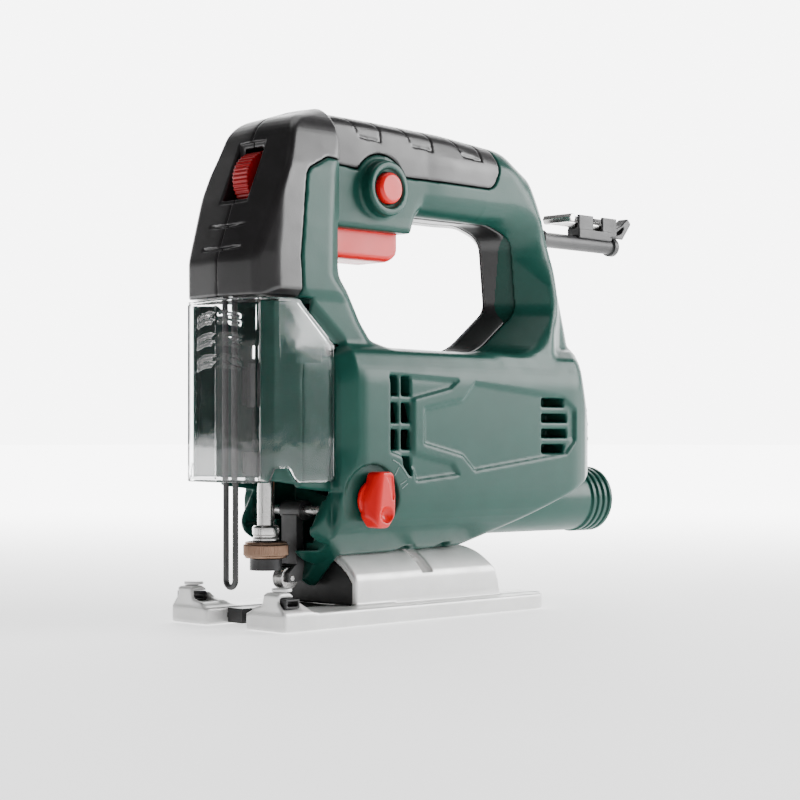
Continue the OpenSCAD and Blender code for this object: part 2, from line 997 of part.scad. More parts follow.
module lock_button() {
    color(c_red)
        union() {
            rod_y(button_d / 2, -button_face_y - 1.6, -13.4, button_c[0], button_c[1]);
            rod_y(button_d / 2 - 1, -button_face_y - 2.2, -button_face_y, button_c[0], button_c[1]);
        }
}

module speed_wheel() {
    teeth = 30;
    color(c_red)
        difference() {
            translate([wheel_c[0], wheel_w / 2, wheel_c[1]])
                rotate([90, 0, 0])
                    linear_extrude(wheel_w)
                        polygon([for (i = [0 : 2 * teeth - 1])
                            (i % 2 == 0 ? wheel_r : wheel_r - 0.5)
                            * [cos(180 * i / teeth), sin(180 * i / teeth)]]);
            rod_y(2 + run_gap, -10, 10, wheel_c[0], wheel_c[1]);
        }
}

// Regulator block behind the wheel, with the pin that the wheel turns on
module speed_controller() {
    color(c_black)
        union() {
            box([10.2, -12, 172], [18, 12, 193]);
            box([12, -14, 177], [16, 14, 184]);
            for (s = [-1, 1])
                box([-5, s > 0 ? 6.4 : -8.4, 176], [11, s > 0 ? 8.4 : -6.4, 186]);
            rod_y(2, -7, 7, wheel_c[0], wheel_c[1]);
        }
}

// Lead from the cable entry down the pillar and along the handle to the switch
module wiring() {
    color(c_black) {
        rod_x(1.6, 64, 141, -3, 186.5);
        for (y = [-4.4, 4.4])
            rod_z(1.6, 106, 162, 151, y);
    }
}

module cable_clamp() {
    color(c_black)
        difference() {
            box([153.4, -9, 163.2], [159.4, 9, 165.8]);
            for (y = [-6, 6])
                rod_z(1.5, 160, 170, 156.4, y);
        }
}

module cable_clamp_screws() {
    color(c_steel)
        for (y = [-6, 6]) {
            rod_z(1.5, 158, 165.8, 156.4, y);
            rod_z(2.7, 161.2, 163.2, 156.4, y);
        }
}

module strain_relief() {
    color(c_black)
        difference() {
            union() {
                rod_x(sleeve_r, 156, sleeve_x1, 0, sleeve_z);
                for (x = [170, sleeve_x1 - 2.4])
                    rod_x(sleeve_r + 1, x, x + 2.4, 0, sleeve_z);
            }
            rod_x(sleeve_bore_r, 155, sleeve_x1 + 1, 0, sleeve_z);
        }
}

// Moulded clip on the sleeve that keeps the hex key
module key_holder() {
    color(c_black)
        difference() {
            union() {
                box([196, -4, sleeve_z + 2.6], [228, 4, sleeve_z + 7]);
                for (x = [196, 214])
                    box([x, -3.8, sleeve_z + 6], [x + 11, 3.8, key_z + 4.2]);
                side(-3, 3)
                    polygon([[226, 171], [236, 172.5], [237.5, 176], [234, 184], [231, 184.6],
                        [224, 176.4]]);
            }
            rod_x(sleeve_r, 190, sleeve_x1, 0, sleeve_z);
            rod_x(sleeve_r + 1, sleeve_x1 - 2.4, 240, 0, sleeve_z);
            rod_x(key_r + 0.4, 190, 226, 0, key_z);
            box([190, -2.1, key_z], [226, 2.1, key_z + 8]);
            side(-5, 5)
                polygon([[229, 174.4], [233.4, 175], [231.8, 180.4]]);
        }
}

module hex_key() {
    color(c_steel)
        union() {
            translate([174, 0, key_z])
                rotate([0, 90, 0])
                    cylinder(r = key_r, h = 44, $fn = 6);
            translate([174 + key_r, 1, key_z])
                rotate([90, 0, 0])
                    cylinder(r = key_r, h = 17, $fn = 6);
        }
}

module dust_port() {
    pitch = 4;
    color(c_green)
        difference() {
            union() {
                rod_x(port_d / 2, port_x0, port_x1 - 3 * pitch - 1.6, 0, port_z);
                rod_x(port_d / 2 - 1.2, port_x0, port_x1, 0, port_z);
                for (i = [0 : 3])
                    rod_x(port_d / 2, port_x1 - i * pitch - 2.4, port_x1 - i * pitch, 0, port_z);
            }
            rod_x(port_bore / 2, port_x0 - 1, port_x1 + 1, 0, port_z);
        }
}

// ---- guard wire ----

module guard_wire() {
    bend_z = wire_bottom + wire_r + wire_half_gap;
    color(c_steel)
        union() {
            for (s = [-1, 1])
                rod_z(wire_r, bend_z, wire_top, wire_x, s * wire_half_gap);
            translate([wire_x, 0, bend_z])
                rotate([90, 0, 90])
                    rotate(180)
                        rotate_extrude(angle = 180)
                            translate([wire_half_gap, 0])
                                circle(r = wire_r, $fn = 24);
        }
}

// ---- shield ----

shield_plan = [[-27, 0], [-23.6, 21.4], [-17, 25.8], [-4, shield_half_w - 0.2],
    [shield_back, shield_half_w - 0.2]];
shield_inner = [[-25, 0], [-22, 20], [-16.2, 23.8], [-4, 25.2], [shield_back, 25.25]];

module chip_shield() {
    top = nose_bottom - 0.5;
    color(c_clear)
        difference() {
            upright(shield_bottom, top)
                polygon(mirror_second(shield_plan));
            upright(shield_bottom - 1, top + 1)
                polygon(mirror_second(concat(shield_inner, [[shield_back + 2, 25.25]])));
            // sloping upper rear corners
            side(-40, 40)
                polygon([[-6.6, top + 1], [-5.8, top], [12, 113], [20, 113], [20, 140]]);
            // notch in the lower edge of each side
            side(-40, 40)
                polygon([[-19, 50], [-19, shield_bottom + 5.6], [-8, shield_bottom + 5.6], [-8, 50]]);
        }
}

// ---- foot ----

tower_section = [[prong_gap, 0], [prong_gap, 6], [18, 10], [21.6, 11.4], [23, 15.6], [30.5, 15.6],
    [33, 11], [foot_w / 2, foot_t], [foot_w / 2, 0]];

module tower() {
    intersection() {
        across(foot_front, 0)
            polygon(tower_section);
        side(0, 40)
            polygon([[foot_front, 0], [foot_front, 14.4], [foot_front + 1.2, 15.6], [-15, 15.6],
                [-5, 8.6], [-3, foot_t], [-3, 0]]);
    }
}

module saddle_shell() {
    difference() {
        intersection() {
            rod_x(saddle_r, 27, 116, 0, 0);
            box([27, -24.5, 0], [116, 24.5, 40]);
            side(-30, 30)
                polygon([[27, 0], [27, 40], [99, 40], [99, saddle_r], [112, 26], [116, 8], [116, 0]]);
        }
        intersection() {
            rod_x(saddle_r - 3.2, 26, 106, 0, 0);
            box([26, -22.5, -1], [106, 22.5, 40]);
        }
        // curved slot that the bevel screw runs in
        intersection() {
            rod_x(saddle_r + 1, bevel_x - 3, bevel_x + 3, 0, 0);
            across(bevel_x - 4, bevel_x + 4)
                polygon([[0, 0], [40 * sin(51), 40 * cos(51)], [40, 60], [-40, 60],
                    [-40 * sin(51), 40 * cos(51)]]);
        }
    }
}

module footplate() {
    half_w = foot_w / 2;
    rear_corner = 8;
    color(c_cast)
        difference() {
            union() {
                upright(0, foot_t)
                    polygon(mirror_second([[foot_front, half_w], [foot_rear - rear_corner, half_w],
                        [foot_rear, half_w - rear_corner]]));
                both_sides()
                    tower();
                saddle_shell();
            }
            // gap between the prongs, and the grooves that hold the insert
            upright(-1, 20)
                polygon([[foot_front - 1, -prong_gap], [30, -prong_gap], [34, -8], [34, 8],
                    [30, prong_gap], [foot_front - 1, prong_gap]]);
            box([-10, -prong_gap - 1.6, 2.4], [30, prong_gap + 1.6, 4.6]);
            // slot for the parallel fence rod
            box([foot_front + 1.5, -50, 8.9], [foot_front + 9.5, 50, 13.3]);
            // holes of the fence screws
            for (s = [-1, 1])
                rod_z(2.1, 12, 20, fence_screw_x, s * fence_screw_y);
            // hollow under the saddle, open below around the bevel screw
            box([34, -17, -1], [106, 17, foot_t + 1]);
        }
}

// Thin plastic plate between the prongs
module foot_insert() {
    color(c_black)
        difference() {
            union() {
                box([-10, -prong_gap, 0.6], [29, prong_gap, 6.6]);
                box([-10, -prong_gap - 1.4, 2.5], [29, prong_gap + 1.4, 4.5]);
            }
            box([-11, -3.2, -1], [17, 3.2, 8]);
        }
}

module fence_screws() {
    color(c_cast)
        for (s = [-1, 1]) {
            rod_z(2, 13.3, 15.6, fence_screw_x, s * fence_screw_y);
            rod_z(4, 15.6, 16.9, fence_screw_x, s * fence_screw_y);
        }
}

// Pad inside the saddle that the bevel screw pulls up against it
module bevel_clamp_plate() {
    color(c_steel)
        difference() {
            intersection() {
                rod_x(saddle_r - 3.5, bevel_x - 14, bevel_x + 14, 0, 0);
                box([bevel_x - 14, -4.4, 23.4], [bevel_x + 14, 4.4, 30]);
            }
            rod_z(bevel_screw_d / 2, 20, 30, bevel_x);
        }
}

module bevel_screw() {
    color(c_steel)
        difference() {
            union() {
                rod_z(bevel_screw_d / 2, 20, 42, bevel_x);
                rod_z(4.2, 19.4, 23.4, bevel_x);
            }
            translate([bevel_x, 0, 19])
                cylinder(r = 2.4, h = 3, $fn = 6);
        }
}

housing_left();
housing_right();
grip_left();
grip_right();
housing_screws();
gear_housing();
gear_housing_screws();
upper_guide();
lower_bush();
upper_bush();
stator_core();
stator_windings();
front_bearing();
rear_bearing();
brush_holders();
carbon_brushes();
brush_springs();
switch_body();
speed_controller();
wiring();
cable_clamp();
cable_clamp_screws();
strain_relief();
key_holder();
dust_port();
guard_wire();
fork_pin();
gear_axle();
bevel_clamp_plate();
bevel_screw();
armature_shaft();
armature_core();
armature_windings();
commutator();
fan();
pinion();
drive_gear();
crank_pin();
balance_weight();
plunger_rod();
yoke();
chuck_collar();
chuck_body();
chuck_sleeve();
roller_fork();
roller_pin();
support_roller();
orbital_lever();
orbital_cam();
trigger();
trigger_spring();
lock_button();
speed_wheel();
footplate();
foot_insert();
fence_screws();
chip_shield();
hex_key();
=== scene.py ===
import math
from itertools import product

import bmesh
import bpy
import numpy as np
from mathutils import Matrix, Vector


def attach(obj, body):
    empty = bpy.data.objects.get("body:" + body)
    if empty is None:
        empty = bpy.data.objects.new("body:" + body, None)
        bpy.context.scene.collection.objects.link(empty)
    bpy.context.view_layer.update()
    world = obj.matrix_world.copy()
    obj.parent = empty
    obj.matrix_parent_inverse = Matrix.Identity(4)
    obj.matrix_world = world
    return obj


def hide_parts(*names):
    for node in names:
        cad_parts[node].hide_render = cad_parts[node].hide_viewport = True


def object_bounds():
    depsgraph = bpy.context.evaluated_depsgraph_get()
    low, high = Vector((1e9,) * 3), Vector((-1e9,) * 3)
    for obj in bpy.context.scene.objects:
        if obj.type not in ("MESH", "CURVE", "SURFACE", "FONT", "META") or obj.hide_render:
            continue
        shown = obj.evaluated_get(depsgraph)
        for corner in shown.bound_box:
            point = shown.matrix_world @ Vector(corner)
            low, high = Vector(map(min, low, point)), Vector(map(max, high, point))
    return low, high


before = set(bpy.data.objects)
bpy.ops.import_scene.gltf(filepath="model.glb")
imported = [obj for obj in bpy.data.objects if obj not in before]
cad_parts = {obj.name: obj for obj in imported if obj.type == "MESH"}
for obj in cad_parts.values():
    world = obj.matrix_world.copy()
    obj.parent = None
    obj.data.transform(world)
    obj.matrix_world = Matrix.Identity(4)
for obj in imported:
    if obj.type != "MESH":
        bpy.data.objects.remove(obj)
cad_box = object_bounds()

MM = 0.001
FINE = 0.7  # mesh step of the large mouldings, in millimetres


# ---------------------------------------------------------------- camera and light

def look_at(thing, target):
    """Turns a lamp towards a point."""
    thing.rotation_euler = (Vector(target) - thing.location).to_track_quat("-Z", "Y").to_euler()


def camera():
    """Level camera, ahead of the tool and on its lever side."""
    data = bpy.data.cameras.new("camera")
    data.lens = 84.6
    data.sensor_width = 36.0
    data.shift_y = 0.0488
    data.clip_start = 0.02
    cam = bpy.data.objects.new("camera", data)
    cam.location = (-0.505, -0.5781, 0.0753)
    cam.rotation_euler = (math.radians(90), 0, math.radians(44.78 - 90))
    bpy.context.scene.collection.objects.link(cam)
    bpy.context.scene.camera = cam


def softbox(name, place, target, width, height, watts):
    """Rectangular lamp at a place, aimed at a point."""
    data = bpy.data.lights.new(name, "AREA")
    data.shape = "RECTANGLE"
    data.size = width
    data.size_y = height
    data.energy = watts
    lamp = bpy.data.objects.new(name, data)
    lamp.location = place
    look_at(lamp, target)
    bpy.context.scene.collection.objects.link(lamp)


def sky():
    """Bright behind the object, and dim on the camera's side."""
    world = bpy.data.worlds.new("studio")
    world.use_nodes = True
    tree = world.node_tree
    back = tree.nodes["Background"]
    place = tree.nodes.new("ShaderNodeTexCoord")
    aim = tree.nodes.new("ShaderNodeVectorMath")
    aim.operation = "DOT_PRODUCT"
    aim.inputs[1].default_value = (0.7, 0.71, 0)
    ramp = tree.nodes.new("ShaderNodeMapRange")
    ramp.interpolation_type = "SMOOTHSTEP"
    for socket, value in (("From Min", 0.6), ("From Max", 0.95), ("To Min", 0.1), ("To Max", 7)):
        ramp.inputs[socket].default_value = value
    tree.links.new(place.outputs["Generated"], aim.inputs[0])
    tree.links.new(aim.outputs["Value"], ramp.inputs["Value"])
    tree.links.new(ramp.outputs["Result"], back.inputs["Strength"])
    back.inputs["Color"].default_value = (1, 1, 1, 1)
    bpy.context.scene.world = world


def studio():
    """Lamps, sky and the paper that the tool stands on."""
    middle = (0.07, 0, 0.13)
    softbox("side_box", (0.98, -0.67, 0.47), middle, 0.76, 0.62, 19)
    softbox("top_box", (0.15, 0.15, 1.15), middle, 1.0, 0.8, 5)
    softbox("left_glow", (-0.98, 0.60, 0.09), middle, 0.45, 0.17, 0.18)
    sky()
    bpy.ops.mesh.primitive_plane_add(size=40, location=(0, 0, cad_box[0][2] - 0.0002))
    floor = bpy.context.object
    floor.name = "floor"
    floor.data.materials.append(paper())


# ---------------------------------------------------------------- materials

class Nodes:
    """Short way to wire a node material."""

    def __init__(self, name):
        self.material = bpy.data.materials.new(name)
        self.material.use_nodes = True
        self.tree = self.material.node_tree
        self.shader = self.tree.nodes["Principled BSDF"]
        self.place = self.add("ShaderNodeTexCoord").outputs["Object"]

    def add(self, kind, **values):
        node = self.tree.nodes.new(kind)
        for key, value in values.items():
            setattr(node, key, value)
        return node

    def link(self, a, b):
        self.tree.links.new(a, b)

    def put(self, **values):
        for key, value in values.items():
            self.shader.inputs[key.replace("_", " ")].default_value = value

    def noise(self, scale, detail=3.0, rough=0.55):
        node = self.add("ShaderNodeTexNoise")
        node.inputs["Scale"].default_value = scale
        node.inputs["Detail"].default_value = detail
        node.inputs["Roughness"].default_value = rough
        self.link(self.place, node.inputs["Vector"])
        return node.outputs["Fac"]

    def ramp(self, source, low, high, start=0.35, end=0.65):
        node = self.add("ShaderNodeValToRGB")
        node.color_ramp.elements[0].position = start
        node.color_ramp.elements[1].position = end
        node.color_ramp.elements[0].color = (*low, 1)
        node.color_ramp.elements[1].color = (*high, 1)
        self.link(source, node.inputs["Fac"])
        return node.outputs["Color"]

    def span(self, source, low, high):
        node = self.add("ShaderNodeMapRange")
        node.inputs["From Min"].default_value = 0.3
        node.inputs["From Max"].default_value = 0.7
        node.inputs["To Min"].default_value = low
        node.inputs["To Max"].default_value = high
        self.link(source, node.inputs["Value"])
        return node.outputs["Result"]

    def bump(self, source, strength, depth):
        node = self.add("ShaderNodeBump")
        node.inputs["Strength"].default_value = strength
        node.inputs["Distance"].default_value = depth * MM
        self.link(source, node.inputs["Height"])
        self.link(node.outputs["Normal"], self.shader.inputs["Normal"])


def textured(name, low, high, rough, grain, depth, metal=0.0, specular=0.5, strength=0.5):
    """Moulded, cast or ground surface: cloudy colour, uneven gloss and a fine grain."""
    m = Nodes(name)
    m.link(m.ramp(m.noise(60), low, high), m.shader.inputs["Base Color"])
    m.link(m.span(m.noise(140), rough[0], rough[1]), m.shader.inputs["Roughness"])
    m.put(Metallic=metal, Specular_IOR_Level=specular)
    m.bump(m.noise(grain, 2.0, 0.6), strength, depth)
    return m.material


def paper():
    """Backdrop paper, glowing more towards the back."""
    m = Nodes("pale_floor")
    m.link(m.ramp(m.noise(8), (0.88, 0.88, 0.88), (0.92, 0.92, 0.92)), m.shader.inputs["Base Color"])
    m.put(Roughness=0.7, Specular_IOR_Level=0.2, Emission_Color=(1, 1, 1, 1))
    away = m.add("ShaderNodeVectorMath", operation="DOT_PRODUCT")
    away.inputs[1].default_value = (0.7, 0.71, 0)
    m.link(m.place, away.inputs[0])
    glow = m.add("ShaderNodeMapRange", interpolation_type="SMOOTHSTEP")
    for socket, value in (("From Min", 0), ("From Max", 1.3), ("To Min", 1.25), ("To Max", 7)):
        glow.inputs[socket].default_value = value
    m.link(away.outputs["Value"], glow.inputs["Value"])
    m.link(glow.outputs["Result"], m.shader.inputs["Emission Strength"])
    return m.material


def clear_plastic():
    """Transparent plastic of the chip shield."""
    m = Nodes("clear_plastic")
    m.link(m.ramp(m.noise(40), (0.97, 0.985, 0.985), (1, 1, 1)), m.shader.inputs["Base Color"])
    m.link(m.span(m.noise(90), 0.02, 0.07), m.shader.inputs["Roughness"])
    m.put(Transmission_Weight=1.0, IOR=1.45, Specular_IOR_Level=0.6)
    m.bump(m.noise(120, 1.0), 0.1, 0.2)
    return m.material


GREEN = textured("green_plastic", (0.0056, 0.053, 0.040), (0.0066, 0.060, 0.045), (0.31, 0.37),
                 1500, 0.04, specular=0.3)
RUBBER = textured("grip_rubber", (0.0055, 0.0050, 0.0055), (0.009, 0.008, 0.009), (0.32, 0.40),
                  1900, 0.06, specular=0.75)
PRINT = textured("pale_print", (0.07, 0.13, 0.115), (0.09, 0.15, 0.135), (0.4, 0.5), 1500, 0.01)
BLACK = textured("black_plastic", (0.010, 0.010, 0.011), (0.016, 0.016, 0.017), (0.35, 0.5), 900, 0.05)
SLEEVE = textured("sleeve_rubber", (0.020, 0.020, 0.021), (0.03, 0.03, 0.031), (0.4, 0.5), 1200, 0.05)
RED = textured("red_plastic", (0.66, 0.0035, 0.0045), (0.74, 0.0045, 0.0060), (0.28, 0.36),
               1500, 0.02, specular=0.4)
# painted shade: a darker copy of the red plastic, for the speed wheel that sits shaded deep in its window
WHEEL_RED_SHADED = textured("red_plastic.shaded", (0.24, 0.0016, 0.0035), (0.30, 0.0022, 0.0045), (0.28, 0.36),
                     1500, 0.02, specular=0.4)
CAST = textured("cast_alloy", (0.74, 0.74, 0.73), (0.82, 0.82, 0.81), (0.36, 0.48), 1300, 0.12, 0.5)
STEEL = textured("bright_steel", (0.58, 0.57, 0.56), (0.68, 0.67, 0.66), (0.2, 0.32), 900, 0.02, 1.0)
DARK_STEEL = textured("dark_steel", (0.05, 0.05, 0.052), (0.08, 0.08, 0.08), (0.35, 0.5), 900, 0.04, 0.7)
BRONZE = textured("bronze", (0.24, 0.15, 0.10), (0.33, 0.21, 0.15), (0.3, 0.42), 1100, 0.03, 0.9)
COPPER = textured("copper", (0.62, 0.28, 0.13), (0.75, 0.36, 0.18), (0.3, 0.4), 900, 0.03, 1.0)
CARBON = textured("carbon", (0.02, 0.02, 0.02), (0.035, 0.035, 0.035), (0.5, 0.6), 900, 0.05)
CLEAR = clear_plastic()


# ---------------------------------------------------------------- distance fields, in millimetres

# An outline is a list of corners (u, v), or (u, v, radius) where the corner is an arc.
# A field gives each point's distance from a surface, negative inside the material.

def rounded(points):
    """Outline with its corners (u, v, radius) turned into arcs."""
    result = []
    count = len(points)
    for i, corner in enumerate(points):
        if len(corner) == 2:
            result.append(tuple(corner))
            continue
        here = Vector(corner[:2])
        back = Vector(points[i - 1][:2]) - here
        on = Vector(points[(i + 1) % count][:2]) - here
        half = back.angle(on) / 2
        cut = min(corner[2] / math.tan(half), 0.48 * back.length, 0.48 * on.length)
        back.normalize()
        on.normalize()
        centre = here + (back + on).normalized() * cut / math.cos(half)
        start = here + back * cut - centre
        end = here + on * cut - centre
        for k in range(7):
            spoke = start.lerp(end, k / 6).normalized() * start.length
            result.append(tuple(centre + spoke))
    return result


def mirrored(half):
    """Closed outline from one half of it, mirrored in the first coordinate."""
    return half + [(-p[0], *p[1:]) for p in reversed(half) if p[0] > 0]


def outline(u, v, points):
    """Signed distance from a closed outline in the u, v plane, negative inside."""
    points = rounded(points)
    nearest = np.inf
    inside = np.zeros(np.broadcast(u, v).shape, bool)
    for (u0, v0), (u1, v1) in zip(points, points[1:] + points[:1]):
        du, dv = u1 - u0, v1 - v0
        t = np.clip(((u - u0) * du + (v - v0) * dv) / (du * du + dv * dv), 0, 1)
        nearest = np.minimum(nearest, (u - u0 - t * du) ** 2 + (v - v0 - t * dv) ** 2)
        if dv:
            inside = inside ^ (((v0 > v) != (v1 > v)) & (u < u0 + (v - v0) * du / dv))
    return np.where(inside, -1.0, 1.0) * np.sqrt(nearest)


def plane(u, v, start, end):
    """Distance to the line from start to end, positive on its left."""
    du, dv = end[0] - start[0], end[1] - start[1]
    return ((v - start[1]) * du - (u - start[0]) * dv) / math.hypot(du, dv)


def both(a, b, r=0.0):
    """Where a and b overlap, with the edge rounded to r."""
    if np.isscalar(r) and r == 0:
        return np.maximum(a, b)
    return np.minimum(np.maximum(a, b), -r) + np.hypot(np.maximum(a + r, 0), np.maximum(b + r, 0))


def either(a, b, r=0.0):
    """a and b together, with the inner corner rounded to r."""
    return -both(-a, -b, r)


def without(a, b, r=0.0):
    """a with b taken away, and the edge rounded to r."""
    return both(a, -b, r)


def block(x, y, z, low, high):
    """Box between two corners."""
    result = -np.inf
    for value, a, b in zip((x, y, z), low, high):
        result = np.maximum(result, np.abs(value - (a + b) / 2) - (b - a) / 2)
    return result


def disc(u, v, centre, r):
    """Distance from a circle in the u, v plane."""
    return np.hypot(u - centre[0], v - centre[1]) - r


def stroke(u, v, points):
    """Distance from an open line."""
    result = np.inf
    for (u0, v0), (u1, v1) in zip(points, points[1:]):
        du, dv = u1 - u0, v1 - v0
        t = np.clip(((u - u0) * du + (v - v0) * dv) / (du * du + dv * dv), 0, 1)
        result = np.minimum(result, np.hypot(u - u0 - t * du, v - v0 - t * dv))
    return result


# ---------------------------------------------------------------- meshes

CORNERS = np.array(list(product((0, 1), repeat=3)))
EDGES = [(a, b) for a in CORNERS for b in CORNERS if (b - a).min() >= 0 and (b - a).sum() == 1]


def finish_piece(obj, material, body, nodes=()):
    """Gives a piece its material, the body it moves with and the nodes it takes the place of."""
    obj.data.materials.append(material)
    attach(obj, body)
    if nodes:
        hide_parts(*nodes)


def mesh_object(name, points, faces):
    """Smoothly shaded object from points in millimetres."""
    mesh = bpy.data.meshes.new(name)
    mesh.from_pydata((np.array(points) * MM).tolist(), [], [list(map(int, f)) for f in faces])
    mesh.validate()
    mesh.polygons.foreach_set("use_smooth", [True] * len(mesh.polygons))
    obj = bpy.data.objects.new(name, mesh)
    bpy.context.scene.collection.objects.link(obj)
    return obj


def carve(name, field, low, high, step=FINE):
    """Object on the zero surface of a distance field, between two corners in millimetres.

    Each grid cell that the surface passes through gets one point, in the middle of the places
    where the surface crosses its edges. Each grid edge that is crossed gets the face between
    the four cells around it.
    """
    low = np.array(low, float)
    axes = [np.arange(a, b + step, step) for a, b in zip(low, high)]
    grid = np.meshgrid(*axes, indexing="ij", sparse=True)
    values = np.broadcast_to(field(*grid), [len(a) for a in axes])
    inside = values < 0
    size = np.array(inside.shape)
    count = sum(inside[tuple(slice(c[i], size[i] - 1 + c[i]) for i in range(3))].astype(np.int8)
                for c in CORNERS)
    cells = np.argwhere((count > 0) & (count < 8))
    index = np.full(size - 1, -1)
    index[tuple(cells.T)] = np.arange(len(cells))
    total = np.zeros((len(cells), 3))
    number = np.zeros((len(cells), 1))
    for a, b in EDGES:
        first = values[tuple((cells + a).T)]
        second = values[tuple((cells + b).T)]
        crossed = (first < 0) != (second < 0)
        t = (first[crossed] / (first[crossed] - second[crossed]))[:, None]
        total[crossed] += a + t * (b - a)
        number[crossed] += 1
    points = low + step * (cells + total / number)
    faces = []
    for axis in range(3):
        along, u, v = (np.eye(3, dtype=int)[(axis + k) % 3] for k in range(3))
        first = inside[tuple(slice(0, size[i] - along[i]) for i in range(3))]
        second = inside[tuple(slice(along[i], size[i]) for i in range(3))]
        at = np.argwhere(first != second)
        at = at[(at[:, (axis + 1) % 3] > 0) & (at[:, (axis + 2) % 3] > 0)]
        at = at[(at < size - 1).all(axis=1)]
        ring = np.stack([index[tuple((at - o).T)] for o in (u + v, v, 0 * u, u)], axis=1)
        out = inside[tuple(at.T)]
        faces.append(np.where(out[:, None], ring, ring[:, ::-1]))
    return mesh_object(name, points, np.concatenate(faces))


def turned(name, profile, axis, centre=(0, 0, 0), segments=96):
    """Solid of revolution from (distance along the axis, radius) pairs."""
    points, faces = [], []
    for h, r in profile:
        for k in range(segments):
            a = 2 * math.pi * k / segments
            ring = {"x": (h, r * math.cos(a), r * math.sin(a)), "y": (r * math.sin(a), h, r * math.cos(a)),
                    "z": (r * math.cos(a), r * math.sin(a), h)}[axis]
            points.append([p + c for p, c in zip(ring, centre)])
    for i in range(len(profile) - 1):
        for k in range(segments):
            n = (k + 1) % segments
            faces.append((i * segments + k, i * segments + n, (i + 1) * segments + n, (i + 1) * segments + k))
    obj = mesh_object(name, points, faces)
    merge(obj)
    return obj


def merge(obj):
    """Joins points in the same place, and turns the faces outwards."""
    work = bmesh.new()
    work.from_mesh(obj.data)
    bmesh.ops.remove_doubles(work, verts=work.verts, dist=0.001 * MM)
    bmesh.ops.dissolve_degenerate(work, edges=work.edges, dist=0.001 * MM)
    bmesh.ops.recalc_face_normals(work, faces=work.faces)
    work.to_mesh(obj.data)
    work.free()


def soft(profile, r=0.5, steps=4):
    """Open profile of (along, radius) pairs with its corners rounded, apart from its two ends."""
    result = [profile[0]]
    for corner in zip(profile, profile[1:], profile[2:]):
        a, p, b = map(Vector, corner)
        cut = min(r, 0.45 * (a - p).length, 0.45 * (b - p).length)
        start = p + (a - p).normalized() * cut
        end = p + (b - p).normalized() * cut
        for k in range(steps + 1):
            t = k / steps
            result.append(tuple(start * (1 - t) ** 2 + p * 2 * t * (1 - t) + end * t ** 2))
    result.append(profile[-1])
    return result


# ---------------------------------------------------------------- housing and grip

# SIDE and LINE outlines are in x, z. SECTION outlines are in half width, z, and PLAN in half width, x.

NOSE_BOTTOM = 131.5
NOSE_BEND = (-25, 149)
CORNER_LEAN = math.radians(9)
PARTING = 0.12  # from the middle plane to each half's edge
SEAM = 0.22  # from the grip's line to the edge on either side of it
PORT_Z = 46.6
SLEEVE_Z = 169.6
BOSS = (48.9, 180)
DIAL = (30, 50.5)
WHEEL = (-2.4, 180)

LOW_SIDE = [(-4, 56), (13.6, 54), (7.5, 43.5), (3.5, 35.5), (11, 26), (19.5, 17.2), (26.4, 13.2),
            (26.4, 26.3), (98, 28.6, 12), (181, 60, 8), (186, 74, 14), (186, 84), (185.5, 98),
            (183, 110), (178, 127), (-4, 127)]
LOW_SECTION = mirrored([(0, 11.3), (33, 44.3, 26), (33, 100, 14), (28.4, 111.4, 6), (22, 115.6, 6),
                        (14, 118)])
LOW_PLAN = mirrored([(25, -4), (25, 13.4), (29.6, 13.4), (33, 26, 14), (33, 158, 24), (30.3, 168, 10),
                     (26, 175, 10), (19.5, 181, 10), (0, 188)])
COLUMN_SIDE = [(-170, NOSE_BOTTOM), (-170, 230), (13.4, 230), (13.4, 182), (13.4, 141, 10),
               (18.5, 135.6, 10), (25, 123.8), (31, 115.8, 10), (42, 106), (42, 96), (-4, 96),
               (-4, NOSE_BOTTOM)]
COLUMN_HALF = 25.5
CHAMFER = (7.4, 3.5)
TOP_LINE = [(-25.6, 100), (-26.2, 146.6, 10), (-17.6, 171.5, 20), (-9.4, 191, 14), (-4.4, 204.4, 16),
            (22, 212.4, 40), (48, 211.9, 30), (103, 209.6, 30), (131, 208.4, 22), (150, 195, 30),
            (162.6, 180.2, 22), (167, 161), (176, 133), (183, 110), (186, 90), (186, 60), (100, 28),
            (20, 28), (20, 100)]
FRONT_SECTION = mirrored([(0, 80), (24.6, 90), (24.9, 131), (25.9, 134.6), (25.6, 160, 20), (24.6, 184, 20),
                          (19.8, 204, 16), (8, 213.4, 12), (0, 215)])
HANDLE_SECTION = mirrored([(0, 80), (30, 98), (28, 116, 20), (25.5, 128, 30), (20.5, 156, 20),
                           (18.2, 168, 14), (19.8, 195, 14), (15.5, 209, 12), (0, 215)])
HANDLE_PLAN = mirrored([(15.4, 8), (17.2, 44, 30), (19.4, 76, 30), (24, 100, 20), (31, 112), (31, 146),
                        (24, 154, 4), (19, 163, 8), (17.5, 176, 4), (12, 184), (0, 188)])
OPENING = [(20.5, 162.6), (20.5, 144, 10), (34, 122.6, 14), (44.5, 113.6, 16), (103.3, 112.8, 20),
           (130.8, 133.8, 9), (127.4, 166, 9), (112, 170.7, 10), (72, 170.6, 4), (66.8, 162.6, 2)]
FLARE = [(76, 113.6), (103.3, 112.4, 20), (131.3, 133.6, 9), (127.8, 166.4, 9), (112, 171.2, 10), (80, 170)]
FLARE_TILT = math.radians(48)
CORNER_CUT = 166
CORNER_SLOPE = 0.259
FACE_FRONT = [(-60, 134.5), (-2.2, 134.9), (21.5, 116.1, 6), (22.3, 69, 16), (16.5, 57, 8), (14, 44, 6),
              (11, 36, 4), (24, 26), (24, -20), (260, -20), (260, 260), (-60, 260)]
GRIP_LINE = [(-60, 100), (-60, 240), (119.5, 240), (120.4, 201), (121.2, 195, 10), (117.4, 186.2, 6),
             (63, 186.3), (35, 187.4), (13, 189.2, 3), (2.2, 183.8, 4), (0.3, 181), (-2, 162, 20),
             (-3.5, 148, 10), (-2.8, 134), (-3.2, 100)]
LINER_HALF = 9.4
LINER_DEPTH = 1.8
